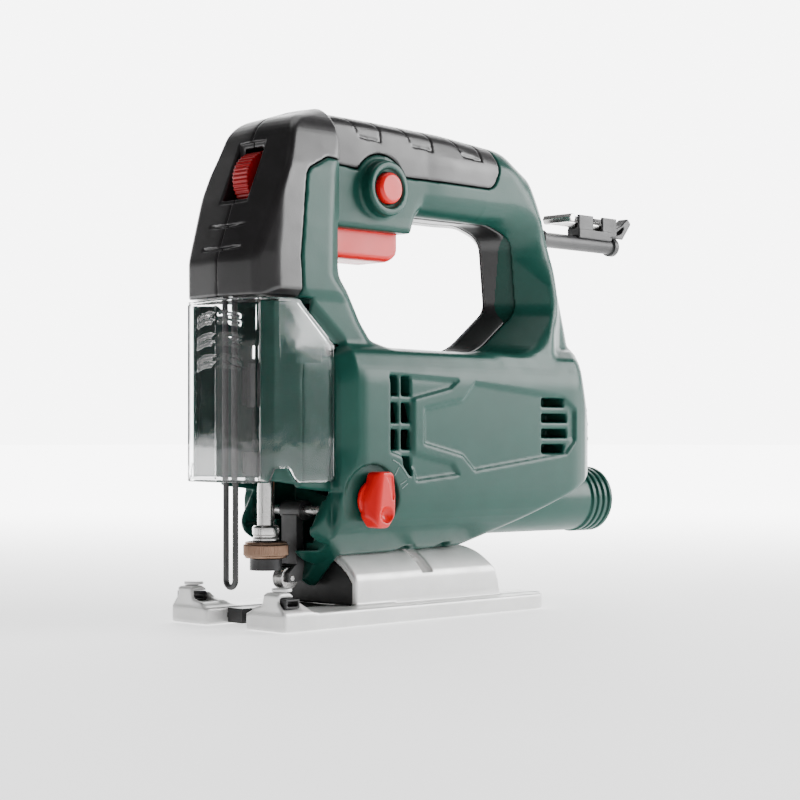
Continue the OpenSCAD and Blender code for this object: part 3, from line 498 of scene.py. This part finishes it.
POCKET_FRONT = [(39.3, 102.8), (83.2, 100.9, 1), (76.1, 96, 3), (53.9, 91.4, 1), (53.9, 69.8, 1),
                (77.3, 65.6, 3), (82.3, 59.6, 1), (54.7, 57.2), (52.7, 62), (45.7, 67.6), (39.3, 69.4)]
POCKET_BACK = [(90.7, 100.2, 1), (149.7, 94.6, 2), (159.2, 89.4, 2), (159.2, 74, 2), (152.3, 68, 2),
               (90.7, 61, 1), (83.1, 67.6, 3), (59.1, 72.8, 1), (59.1, 88.4, 1), (83.1, 92.6, 3)]
CREASE = [(-2.9, 8.9), (-0.9, 7.2), (0.3, 4.8), (0.2, 0), (-11.2, 1)]
CREASE_PLACES = [(48.4, 200), (78.6, 199.3), (109.4, 198.1)]
FINE_CREASE = [(-16.4, 8), (-14.4, 6), (-12.8, 2.9)]
RIBS = (75.6, 82.2, 88.8)
SCREWS = [(14, 150), (50, 46.6), (75, 46.6), (100, 178), (147, 186), (162, 128), (176, 80)]
NOTCHES = ((63, 28.4), (86, 29))
VENT_TOP = 101.4
VENT_PITCH = 11.1
LOUVRE_LOW = 69
LOUVRE_PITCH = 6.9


def flare(x, w, z):
    """The opening's rear part, whose faces run outwards and back from the middle."""
    c = math.cos(FLARE_TILT)
    line = [(p[0] * c, *p[1:]) for p in FLARE]
    return np.maximum(outline((x - w * math.tan(FLARE_TILT)) * c, z, line), 60 - x)


def column_form(x, w, z):
    """Wide front column with its nose."""
    rear = outline(x - CHAMFER[0], z, COLUMN_SIDE)
    slant = CHAMFER[0] / CHAMFER[1]
    c = 1 / math.hypot(1, slant)
    line = [(p[0] * c, *p[1:]) for p in COLUMN_SIDE]
    flank = outline((x + (w - COLUMN_HALF) * slant) * c, z, line)
    above = np.maximum(z - NOSE_BEND[1], 0)
    lean = x * math.cos(CORNER_LEAN) - above * math.sin(CORNER_LEAN)
    corner = plane(lean, w, (-23.2, 21.3), (-16.6, 25.4))
    bulge = 0.12 * (np.hypot(w, 3) - 3)
    recess = 2.2 * np.clip(outline(x, z, FACE_FRONT) / 3, 0, 1)
    side = both(outline(w, z, FRONT_SECTION) + recess, corner, 0.9)
    return both(both(side, outline(x - bulge, z, TOP_LINE), 2), both(rear, flank, 1.0), 0.8)


def closed_form(x, y, z):
    """Outer form of housing and grip together."""
    w = np.abs(y)
    step_back = 4.6 * np.clip(outline(x, z, FACE_FRONT) / 8, 0, 1)
    corner_cut = ((x + w) * math.sqrt(0.5) + CORNER_SLOPE * z - CORNER_CUT) / math.hypot(1, CORNER_SLOPE)
    low = both(outline(x, z, LOW_SIDE), outline(w, z, LOW_SECTION) + step_back, 2.4)
    low = both(low, outline(w, x, LOW_PLAN), 2)
    column = column_form(x, w, z)
    handle = both(outline(w, z, HANDLE_SECTION), outline(w, x, HANDLE_PLAN), 3)
    handle = both(handle, outline(x, z, TOP_LINE), 8 + 8 * np.clip((x - 90) / 50, 0, 1))
    body = both(either(either(column, handle, 2.4), low, 1.6), corner_cut, 3)
    cut = either(outline(x, z, OPENING), flare(x, w, z))
    edge = 2.6 + 8 * np.clip((x - 66) / 8, 0, 1) * np.clip((z - 146) / 12, 0, 1)
    body = without(body, cut, edge)
    boss = both(disc(x, z, BOSS, 11.6), np.abs(y + 12) - 10.6, 1.2)
    body = either(body, boss, 1.6)
    seat = both(np.hypot(w, z) - 31, np.abs(x - 72.3) - 45.9)
    return without(body, seat, 0.6)


def cavity(x, y, z):
    """Space inside, where something moves or can be seen into."""
    w = np.abs(y)
    plunger_room = ((-34, -20.9, 40), (16, 20.9, 130.1))
    gear_room = ((12, -22.4, 42), (36.1, 22.4, 112))
    above_gear = ((12, -15.6, 100), (26, 15.6, 130.5))
    between_keels = ((-5, -8, 8), (19, 8, 42))
    above_keels = ((-5, -20, 30), (15, 20, 42))
    nose_room = ((-14.5, -20, 128), (10.6, 20, 166))
    wheel_room = ((-5, -14, 160), (18, 14, 194))
    trigger_room = ((20, -11.4, 140), (65.4, 11.4, 174))
    dust_duct = ((10, -12, 33), (118, 12, 42.4))
    motor_room = both(np.hypot(y, z - 80) - 29, np.abs(x - 93) - 57)
    result = motor_room
    for low, high in (plunger_room, gear_room, above_gear, between_keels, above_keels, nose_room,
                      wheel_room, trigger_room, dust_duct):
        result = np.minimum(result, block(x, y, z, low, high))
    gear = both(np.hypot(y, z - 106.15) - 23.6, np.abs(x - 19.6) - 7.6)
    rod = np.hypot(x, y) - 4.4
    return np.minimum(np.minimum(result, gear), both(rod, np.abs(z - 150) - 20))


def slots(x, w, z):
    """Ventilation holes, front and rear."""
    result = np.inf
    for column, rows in ((42.3, 3), (49.5, 4)):
        for i in range(rows):
            high = VENT_TOP - VENT_PITCH * i
            hole = [(column - 2.6, high, 0.5), (column + 2.6, high, 0.5), (column + 2.6, high - 8.2, 0.5),
                    (column - 2.6, high - 8.2, 0.5)]
            if i == 3:
                hole[2:] = [(column + 2.6, high - 8.4, 0.5), (column + 0.8, high - 7.6, 0.5),
                            (column - 2.6, high - 3.4, 0.5)]
            result = np.minimum(result, outline(x, z, hole))
    for i in range(4):
        low = LOUVRE_LOW + LOUVRE_PITCH * i
        end = (152, 153.4, 153.4, 151)[i]
        hole = [(136, low, 0.5), (end - 2 * (i == 0), low, 0.5), (end, low + 3.9, 0.5), (136, low + 3.9, 0.5)]
        result = np.minimum(result, outline(x, z, hole))
    return both(result, 19 - w)


def housing_field(x, y, z):
    """Both hard halves of the housing."""
    w = np.abs(y)
    body = closed_form(x, y, z)
    for pocket in (POCKET_FRONT, POCKET_BACK):
        inner = np.clip(-outline(x, z, pocket) / 1.6, 0, 1)
        body = body + 1.5 * inner * (w > 27)
    body = without(body, slots(x, w, z), 0.4)
    strip = block(x, w, z, (154.9, 31, 75.4), (158.4, 36, 88.2))
    body = without(body, strip, 0.3)
    for height in RIBS:
        rib = both(both(np.abs(z - height) - 1, body - 1.3), 178 - x, 0.3)
        body = either(body, both(rib, w - 22), 0.3)
    body = without(body, cavity(x, y, z), 0.5)
    ring = both(disc(x, z, BOSS, 8.3), y + 21.2)
    shaft = both(disc(x, z, BOSS, 6.7), y + 10)
    body = without(without(body, ring, 0.5), shaft, 0.3)
    dial = both(both(disc(x, z, DIAL, 14.6), 37.8 - z, 1.5), y + 29.8)
    body = without(body, dial, 0.5)
    body = without(body, both(disc(x, z, DIAL, 4.3), y + 10))
    for place in SCREWS:
        body = without(body, both(disc(x, z, place, 3.8), 11.8 - y), 0.3)
    socket = both(np.hypot(y, z - PORT_Z) - 15.7, 111 - x)
    body = without(body, socket, 0.5)
    sleeve_hole = both(np.hypot(y, z - SLEEVE_Z) - 3.9, 154 - x)
    body = without(body, sleeve_hole, 0.5)
    for at, top in NOTCHES:
        notch = outline(x, z, [(at - 4, top - 9), (at - 4, top + 1.2, 2.5), (at + 4, top + 2.4, 2.5),
                               (at + 4, top - 9)])
        body = without(body, both(notch, np.abs(w - 17.5) - 4), 0.5)
    return body


def liner(x, y, z):
    """Soft layer on the walls of the opening, behind the trigger."""
    w = np.abs(y)
    cut = either(outline(x, z, OPENING), flare(x, w, z))
    return both(both(w - LINER_HALF, cut - LINER_DEPTH), 70 - x)


def half_of(field, sign, zone=1):
    """One side of a moulding, and what is inside (1) or outside (-1) the grip's line."""
    def part(x, y, z):
        grip = np.minimum(np.maximum(outline(x, z, GRIP_LINE), -disc(x, z, BOSS, 14.6)), liner(x, y, z))
        return both(both(field(x, y, z), zone * grip + SEAM, 0.45), PARTING - sign * y, 0.45)
    return part


def grip_field(x, y, z):
    """Both halves of the soft grip, with the nose's grooves and the creases of the handle."""
    w = np.abs(y)
    body = closed_form(x, y, z)
    body = without(body, cavity(x, y, z))
    window = block(x, y, z, (-40, -8, 171.2), (-6.4, 8, 195.3))
    slot = block(x, y, z, (-24, -5.6, 172.4), (10.6, 5.6, 193))
    hidden = block(x, y, z, (-14.8, -5.6, 167), (10.6, 5.6, 193))
    body = without(without(body, window, 0.5), either(slot, hidden))
    for height, half, depth in ((170.4, 8.6, 0.9), (160, 11, 0.5), (150.6, 11.7, 0.5)):
        front = NOSE_BEND[0] + max(height - NOSE_BEND[1], 0) * 0.3
        groove = block(x, w, z - 0.06 * w, (front - 9, -1, height - depth),
                       (front + 1.7, half, height + depth))
        body = without(body, groove, 0.4)
    shallow = -0.5 - body
    for place in CREASE_PLACES:
        for line, half in ((CREASE, 0.5), (FINE_CREASE, 0.25)):
            crease = stroke(x - place[0], z - place[1], line) - half
            body = without(body, both(crease, shallow), 0.3)
    return body


def cheek_field(x, y, z):
    """Thin walls of the housing that stand inside the shield, beside the plunger."""
    w = np.abs(y)
    plan = outline(w, x, [(24.7, 8), (24.7, -4), (23.3, -16.2), (20.4, -20.6), (19.2, -19.8), (21.8, -15.4),
                          (22.6, -4), (22.6, 8)])
    side = outline(x, z, [(-30, 60.5), (-3, 57), (8, 57), (8, 117.4), (-5.2, 130.2), (-30, 130.2)])
    return both(plan, side, 0.3)


def housing():
    left = carve("housing_left", half_of(housing_field, -1, zone=-1), (-6, -35, 9), (188, 1, 214))
    finish_piece(left, GREEN, "housing", ["housing_left"])
    right = carve("housing_right", half_of(housing_field, 1, zone=-1), (-6, -1, 9), (188, 35, 214))
    finish_piece(right, GREEN, "housing", ["housing_right"])
    left = carve("grip_left", half_of(grip_field, -1), (-30, -28, 110), (135, 1, 216), 0.8 * FINE)
    finish_piece(left, RUBBER, "housing", ["grip_left"])
    right = carve("grip_right", half_of(grip_field, 1), (-30, -1, 110), (135, 28, 216), 0.8 * FINE)
    finish_piece(right, RUBBER, "housing", ["grip_right"])
    cheeks = carve("cheeks", cheek_field, (-22, -26, 56), (9, 26, 131), 0.55)
    finish_piece(cheeks, GREEN, "housing")


# ---------------------------------------------------------------- controls

LEVER = [(27.5, 62, 2), (35.6, 62, 2.5), (36.6, 52), (36.4, 44, 5), (32.5, 39.2, 3), (27, 39.2, 3),
         (23.3, 44, 3), (23.3, 50, 4)]
LEVER_FACE = -38.4
LEVER_RIDGE = ((25.6, 40), (28.8, 62))
LEVER_SLOPE = 1.22
LEVER_SHALLOW = [(31.4, 60.4, 0.5), (34.8, 60.4, 1), (35.7, 52), (35, 49.6, 0.5), (33.2, 57)]


def lever_field(x, y, z):
    """Lever with a sloping front facet, a shallow and a dimple, on its round base and stem."""
    (x0, z0), (x1, z1) = LEVER_RIDGE
    beyond = x0 + (z - z0) * (x1 - x0) / (z1 - z0) - x
    facet = (LEVER_FACE + LEVER_SLOPE * beyond - y) / math.hypot(1, LEVER_SLOPE)
    body = both(outline(x, z, LEVER), both(facet, LEVER_FACE - y, 1.2), 0.9)
    body = without(body, both(outline(x, z, LEVER_SHALLOW), y - LEVER_FACE - 0.5), 0.4)
    dimple = np.sqrt((x - 31.6) ** 2 + (y - LEVER_FACE + 1.6) ** 2 + (z - 44.6) ** 2) - 3.8
    body = without(body, dimple, 0.3)
    base = both(disc(x, z, DIAL, 8), np.abs(y + 31.4) - 0.8, 0.3)
    stem = both(disc(x, z, DIAL, 4), np.abs(y + 26.5) - 6.5)
    return either(both(body, y + 31.4), either(base, stem))


def trigger_field(x, y, z):
    """Trigger, rounder towards its lower edge."""
    side = outline(x, z, [(22, 164.6), (22, 150.5, 1.6), (65, 150.5, 6), (65, 164.6)])
    below = np.clip((154 - z) / 4, 0, 1)
    return both(both(side, np.abs(y) - 11, 1.4 + 2.4 * below), z - 164.6)


def wheel_field(x, y, z):
    """Speed wheel with its ribbed rim."""
    u, v = x - WHEEL[0], z - WHEEL[1]
    ribs = 0.25 + 0.25 * np.cos(44 * np.arctan2(v, u))
    body = both(np.hypot(u, v) - 12 + ribs, np.abs(y) - 4.5, 0.5)
    return without(body, np.hypot(u, v) - 2.05)


def controls():
    lever = carve("lever", lever_field, (12, -40, 36), (43, -19, 64), 0.35)
    finish_piece(lever, RED, "lever", ["orbital_lever"])
    trigger = carve("trigger_grip", trigger_field, (21, -12, 149.5), (66, 12, 165.5), 0.5)
    finish_piece(trigger, RED, "trigger", ["trigger"])
    rim = carve("wheel_rim", wheel_field, (-17, -5, 170), (9, 5, 195.5), 0.3)
    # the wheel takes the darker red copy, which paints the shade of its window into its colour
    finish_piece(rim, WHEEL_RED_SHADED, "wheel", ["speed_wheel"])
    cap = soft([(-13.4, 0), (-13.4, 6.5), (-23.2, 6.5), (-24.2, 5.4), (-24.0, 0)], 0.5)
    finish_piece(turned("lock_cap", cap, "y", (BOSS[0], 0, BOSS[1])), RED, "lock", ["lock_button"])


MARKS = [[(40.7, 66.7), (44.2, 65.2), (47, 62.7), (50, 59.3)], [(44, 63.5), (41.8, 60.4)],
         [(45.1, 56.5), (48.5, 58.2)], [(46.1, 54.9), (49.3, 56.9)], [(45.2, 43.6), (44.8, 46.6)],
         [(47.6, 43.5), (47.2, 46.5)], [(50.2, 43.4), (49.8, 46.4)]]


def marks_field(x, y, z):
    """Setting marks around the lever, printed on the housing."""
    lines = np.minimum.reduce([stroke(x, z, line) for line in MARKS]) - 0.35
    return both(lines, np.abs(closed_form(x, y, z)) - 0.16)


def marks():
    """The printed marks, which have no slot of their own."""
    piece = carve("dial_marks", marks_field, (39, -34, 42), (52, -32, 68), 0.25)
    piece.data.materials.append(PRINT)
    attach(piece, "housing")


# ---------------------------------------------------------------- dust port, sleeve and key

KEY_Z = 179
KEY_FLAT = 2.2 * math.cos(math.pi / 6)


def port():
    """Ribbed tube at the rear."""
    profile = [(112, 12.5), (112, 14.2), (191, 14.7)]
    for i in range(4):
        start = 192.6 + 4 * i
        profile += [(start, 14.4), (start + 0.2, 15.4), (start + 2.2, 15.4), (start + 2.4, 14.4)]
    profile += [(207, 14.2), (207, 12.5), (112, 12.5)]
    tube = turned("port_tube", soft(profile, 0.35), "x", (0, 0, PORT_Z))
    finish_piece(tube, GREEN, "housing", ["dust_port"])


def sleeve():
    """Strain relief sleeve with two collars."""
    profile = [(156, 2.4), (156, 3.6), (170, 3.6), (170, 4.6), (172.4, 4.6), (172.4, 3.6), (222.6, 3.6),
               (222.6, 4.6), (226, 4.6), (226, 2.4), (156, 2.4)]
    tube = turned("cable_sleeve", soft(profile, 0.5), "x", (0, 0, SLEEVE_Z))
    finish_piece(tube, SLEEVE, "housing", ["strain_relief"])


def holder_field(x, y, z):
    """Key holder, clipped on the sleeve, with its hooked end."""
    w = np.abs(y)
    web = outline(x, z, [(196, 172), (229, 171.6, 2), (237.3, 181.6, 1), (234.6, 184.4, 1), (229.6, 180.4, 3),
                         (219.6, 176.4), (196, 176.4)])
    web = without(web, outline(x, z, [(222, 174.2), (229.2, 176.4, 0.4), (232.4, 180.6, 0.4),
                                      (229, 178.6, 0.4)]), 0.3)
    body = both(web, w - np.where(x < 220, 3.9, 3), 0.5)
    for start in (196, 214):
        clip = both(block(x, w, z, (start, -1, 174), (start + 11, 3.8, 183.2)), w - 3.8, 0.7)
        body = either(body, clip, 0.4)
    body = without(body, both(np.hypot(y, z - KEY_Z) - 2.6, x - 226))
    body = without(body, block(x, w, z, (190, -1, KEY_Z), (226, 2.1, 190)), 0.4)
    return without(body, np.hypot(y, z - SLEEVE_Z) - np.where(x > 222, 4.65, 3.65))


def hexagon(u, v):
    """Half the width across flats of the hexagon that passes through a point."""
    return np.maximum(np.abs(v), np.abs(u) * math.cos(math.pi / 6) + np.abs(v) / 2)


def key_field(x, y, z):
    """Bent hexagon key."""
    long_leg = both(hexagon(y, z - KEY_Z) - KEY_FLAT, np.abs(x - 197) - 21, 0.25)
    short_leg = both(hexagon(x - 176.2, z - KEY_Z) - KEY_FLAT, np.abs(y + 7.5) - 8.5, 0.25)
    return either(long_leg, short_leg, 0.8)


def key_and_holder():
    holder = carve("holder", holder_field, (195, -4.5, 170.5), (238, 4.5, 185), 0.35)
    finish_piece(holder, SLEEVE, "housing", ["key_holder"])
    key = carve("key", key_field, (173, -17, 176), (219, 3.2, 182), 0.3)
    finish_piece(key, STEEL, "key", ["hex_key"])


# ---------------------------------------------------------------- chuck

def ring_field(x, y, z):
    """Turning ring of the blade chuck, ribbed around."""
    ribs = 0.18 + 0.18 * np.cos(60 * np.arctan2(y, x))
    rim = both(np.hypot(x, y) - 9.25 + ribs, np.abs(z - 30.2) - 2.3, 0.3)
    ends = both(np.hypot(x, y) - 8.6, np.abs(z - 30.25) - 3.35, 0.5)
    return without(either(rim, ends), np.hypot(x, y) - 5, 0.2)


def chuck():
    ring = carve("chuck_ring", ring_field, (-10, -10, 26.4), (10, 10, 34.2), 0.25)
    finish_piece(ring, BRONZE, "chuck_ring", ["chuck_sleeve"])
    profile = [(34, 3.5), (34, 5.5), (35, 5.5), (35.3, 5.1), (36.2, 5.1), (36.5, 5.5), (39.4, 5.5),
               (40.2, 4.8), (40.2, 3.5), (34, 3.5)]
    collar = turned("collar", soft(profile, 0.2), "z")
    finish_piece(collar, STEEL, "plunger", ["chuck_collar"])


# ---------------------------------------------------------------- foot

FOOT_SIDE = [(-21, 0, 1), (-21, 14.4, 0.5), (-19.6, 15.6, 1.5), (-14.6, 15.6, 2), (-5.5, 8, 2), (-3, 7),
             (-3, 0)]
PRONG = [(12, 0.2, 2), (12, 5.6, 1.2), (16.5, 9.4, 2), (21.4, 10.4, 1.5), (22.6, 15.6, 1.2), (31, 15.6, 1),
         (31, 11.6, 1.5), (34.8, 7, 1), (34.8, 0, 1.2)]
FOOT_PLAN = mirrored([(0, -21), (34.8, -21, 2), (34.8, 132, 5), (27, 140, 6), (0, 140)])
SADDLE_SIDE = [(27, 0), (27, 40), (99, 40), (99, 30.7, 6), (109, 27.6, 8), (115, 13, 8), (116, 7), (116, 0)]
SADDLE_R = 30.7
SADDLE_SLOT = math.radians(51)  # how far the cross slot reaches, on each side of the saddle's top
FENCE_SCREW = (-15.5, 27.2)


def foot_field(x, y, z):
    """Casting of the foot: plate, two prongs with fence slots, and the saddle."""
    w = np.abs(y)
    plate = both(outline(w, x, FOOT_PLAN), np.abs(z - 3.5) - 3.5, 0.9)
    prong = both(outline(w, z, PRONG), outline(x, z, FOOT_SIDE), 0.9)
    for height in (3.4, 5.2):
        prong = without(prong, block(x, w, z, (-30, 11, height - 0.35), (-9, 12.7, height + 0.35)), 0.2)
    saddle = both(both(np.hypot(y, z) - SADDLE_R, w - 24.5, 1.2), outline(x, z, SADDLE_SIDE), 1.2)
    saddle = both(saddle, -z)
    saddle = without(saddle, both(both(np.hypot(y, z) - SADDLE_R + 3.2, w - 22.5), x - 106))
    slope = z * math.sin(SADDLE_SLOT) - w * math.cos(SADDLE_SLOT)
    saddle = without(saddle, both(np.abs(x - 70) - 3, -slope), 0.4)
    body = either(either(plate, saddle, 1.2), prong, 1.0)
    gap = both(outline(x, w, [(-40, -12), (-40, 12), (30, 12), (34, 8), (34, -8), (30, -12)]), z - 20)
    body = without(body, gap, 0.9)
    body = without(body, block(x, w, z, (-10, -1, 2.4), (30, 13.6, 4.6)))
    body = without(body, block(x, w, z, (-19.5, -1, 8.9), (-11.5, 50, 13.3)), 0.6)
    body = without(body, both(disc(x, w, FENCE_SCREW, 2.1), 12 - z))
    body = without(body, both(block(x, w, z, (34, -1, -1), (106, 17, 8)), z - 30), 0.3)
    scale = outline(x, w, [(50.5, 24.6, 0.6), (138, 24.6, 3), (138, 31, 6), (134, 33.8, 3),
                           (46.6, 33.8, 0.6)])
    body = without(body, both(scale, 6.6 - z), 0.2)
    tick = both(np.abs((x - 52) % 6 - 3) - 0.5, np.abs(w - 29) - 3)
    body = without(body, both(both(tick, np.abs(x - 76) - 24), 6.2 - z), 0.1)
    return both(body, np.maximum(-z, w - 34.8), 0.5)


def saddle_shade_plate_field(x, y, z):
    """Painted shade: dark plate that closes the front of the saddle, standing in for the shade inside it."""
    return both(both(np.hypot(y, z) - 27.2, np.abs(y) - 22.2), both(np.abs(x - 28.8) - 1, 6.8 - z), 0.3)


def slot_lining_field(x, y, z):
    """Dark linings of the two fence slots."""
    w = np.abs(y)
    tube = block(x, w, z, (-19.2, 23.4, 9.2), (-11.8, 33.6, 13))
    return without(tube, block(x, w, z, (-18.2, 22, 10.2), (-12.8, 35, 12)))


def foot():
    plate = carve("foot_casting", foot_field, (-22, -36, -0.8), (141, 36, 32), 0.6)
    finish_piece(plate, CAST, "foot", ["footplate"])
    # painted shade: a black plate in the saddle's front opening darkens it where shade falls
    end = carve("saddle_shade_plate", saddle_shade_plate_field, (27, -24, 6), (31, 24, 28.5), 0.4)
    finish_piece(end, BLACK, "foot")
    lining = carve("slot_linings", slot_lining_field, (-20, -35, 8.5), (-11, 35, 13.7), 0.35)
    finish_piece(lining, BLACK, "foot")
    for side, sign in (("left", -1), ("right", 1)):
        head = soft([(13.3, 0), (13.3, 2), (15.6, 2), (15.6, 4), (16.9, 4), (16.9, 0)], 0.4)
        screw = turned("fence_screw_" + side, head, "z", (FENCE_SCREW[0], sign * FENCE_SCREW[1], 0))
        finish_piece(screw, CAST, "foot", ["fence_screws"])


# ---------------------------------------------------------------- shield

SHIELD_PLAN = mirrored([(0, -27), (21.2, -23.7, 1.2), (26.6, -16.6, 1.2), (27.2, 13), (27.2, 30)])
SHIELD_SIDE = [(-40, 58), (-19, 58, 0.6), (-17.4, 63.6, 0.8), (-10, 63.6, 0.8), (-6, 58, 0.6), (13, 58, 0.8),
               (13, 113, 2), (-5.8, 131), (-40, 131)]


def shield_field(x, y, z):
    """Bent wall of the shield, thicker at its lip and edges, with three pairs of ridges."""
    w = np.abs(y)
    around = outline(w, x, SHIELD_PLAN)
    lip = np.clip(1 - np.abs(z - 58.8) / 1.2, 0, 1)
    rear = np.clip(1 - np.abs(outline(x, z, SHIELD_SIDE) + 0.8) / 0.9, 0, 1)
    wall = both(around, -around - 1.5 - 0.5 * np.maximum(lip, rear), 0.2)
    shell = both(wall, outline(x, z, SHIELD_SIDE), 0.5)
    for centre in (123.6, 115, 106.4):
        for offset in (-1.4, 1.4):
            line = np.hypot(around + 0.2, z - centre - offset + 0.02 * (w - 4) ** 2) - 0.55
            shell = either(shell, both(line, np.abs(w - 7.5) - 5.5), 0.3)
    return shell


def shield():
    clear = carve("shield_moulding", shield_field, (-29.2, -28, 57.4), (13.6, 28, 131.6), 0.55)
    finish_piece(clear, CLEAR, "shield", ["chip_shield"])


# ---------------------------------------------------------------- materials of the CAD nodes

NODE_MATERIALS = {
    "housing_screws": STEEL, "gear_housing": DARK_STEEL, "gear_housing_screws": STEEL,
    "upper_guide": DARK_STEEL, "lower_bush": BRONZE, "upper_bush": BRONZE,
    "stator_core": DARK_STEEL, "stator_windings": COPPER,
    "front_bearing": STEEL, "rear_bearing": STEEL, "brush_holders": BRONZE, "carbon_brushes": CARBON,
    "brush_springs": STEEL, "switch_body": BLACK, "speed_controller": BLACK, "wiring": BLACK,
    "cable_clamp": BLACK, "cable_clamp_screws": STEEL, "strain_relief": SLEEVE, "key_holder": SLEEVE,
    "dust_port": GREEN, "guard_wire": DARK_STEEL, "fork_pin": STEEL, "gear_axle": STEEL,
    "bevel_clamp_plate": STEEL, "bevel_screw": STEEL, "armature_shaft": STEEL,
    "armature_core": DARK_STEEL, "armature_windings": COPPER, "commutator": COPPER, "fan": BLACK,
    "pinion": STEEL, "drive_gear": STEEL, "crank_pin": STEEL, "balance_weight": DARK_STEEL,
    "plunger_rod": STEEL, "yoke": DARK_STEEL, "chuck_collar": STEEL, "chuck_body": DARK_STEEL,
    "chuck_sleeve": BRONZE, "roller_fork": DARK_STEEL, "roller_pin": STEEL, "support_roller": STEEL,
    "orbital_lever": RED, "orbital_cam": DARK_STEEL, "trigger": RED, "trigger_spring": STEEL,
    "lock_button": RED, "speed_wheel": RED, "footplate": CAST, "foot_insert": BLACK,
    "fence_screws": CAST, "chip_shield": CLEAR, "hex_key": STEEL, "housing_left": GREEN,
    "housing_right": GREEN, "grip_left": RUBBER, "grip_right": RUBBER,
}


def dress_nodes():
    """Puts the materials on the nodes that came with the frame."""
    for name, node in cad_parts.items():
        material = NODE_MATERIALS[name]
        for slot in node.material_slots:
            slot.material = material


camera()
studio()
dress_nodes()
housing()
controls()
marks()
port()
sleeve()
key_and_holder()
chuck()
foot()
shield()
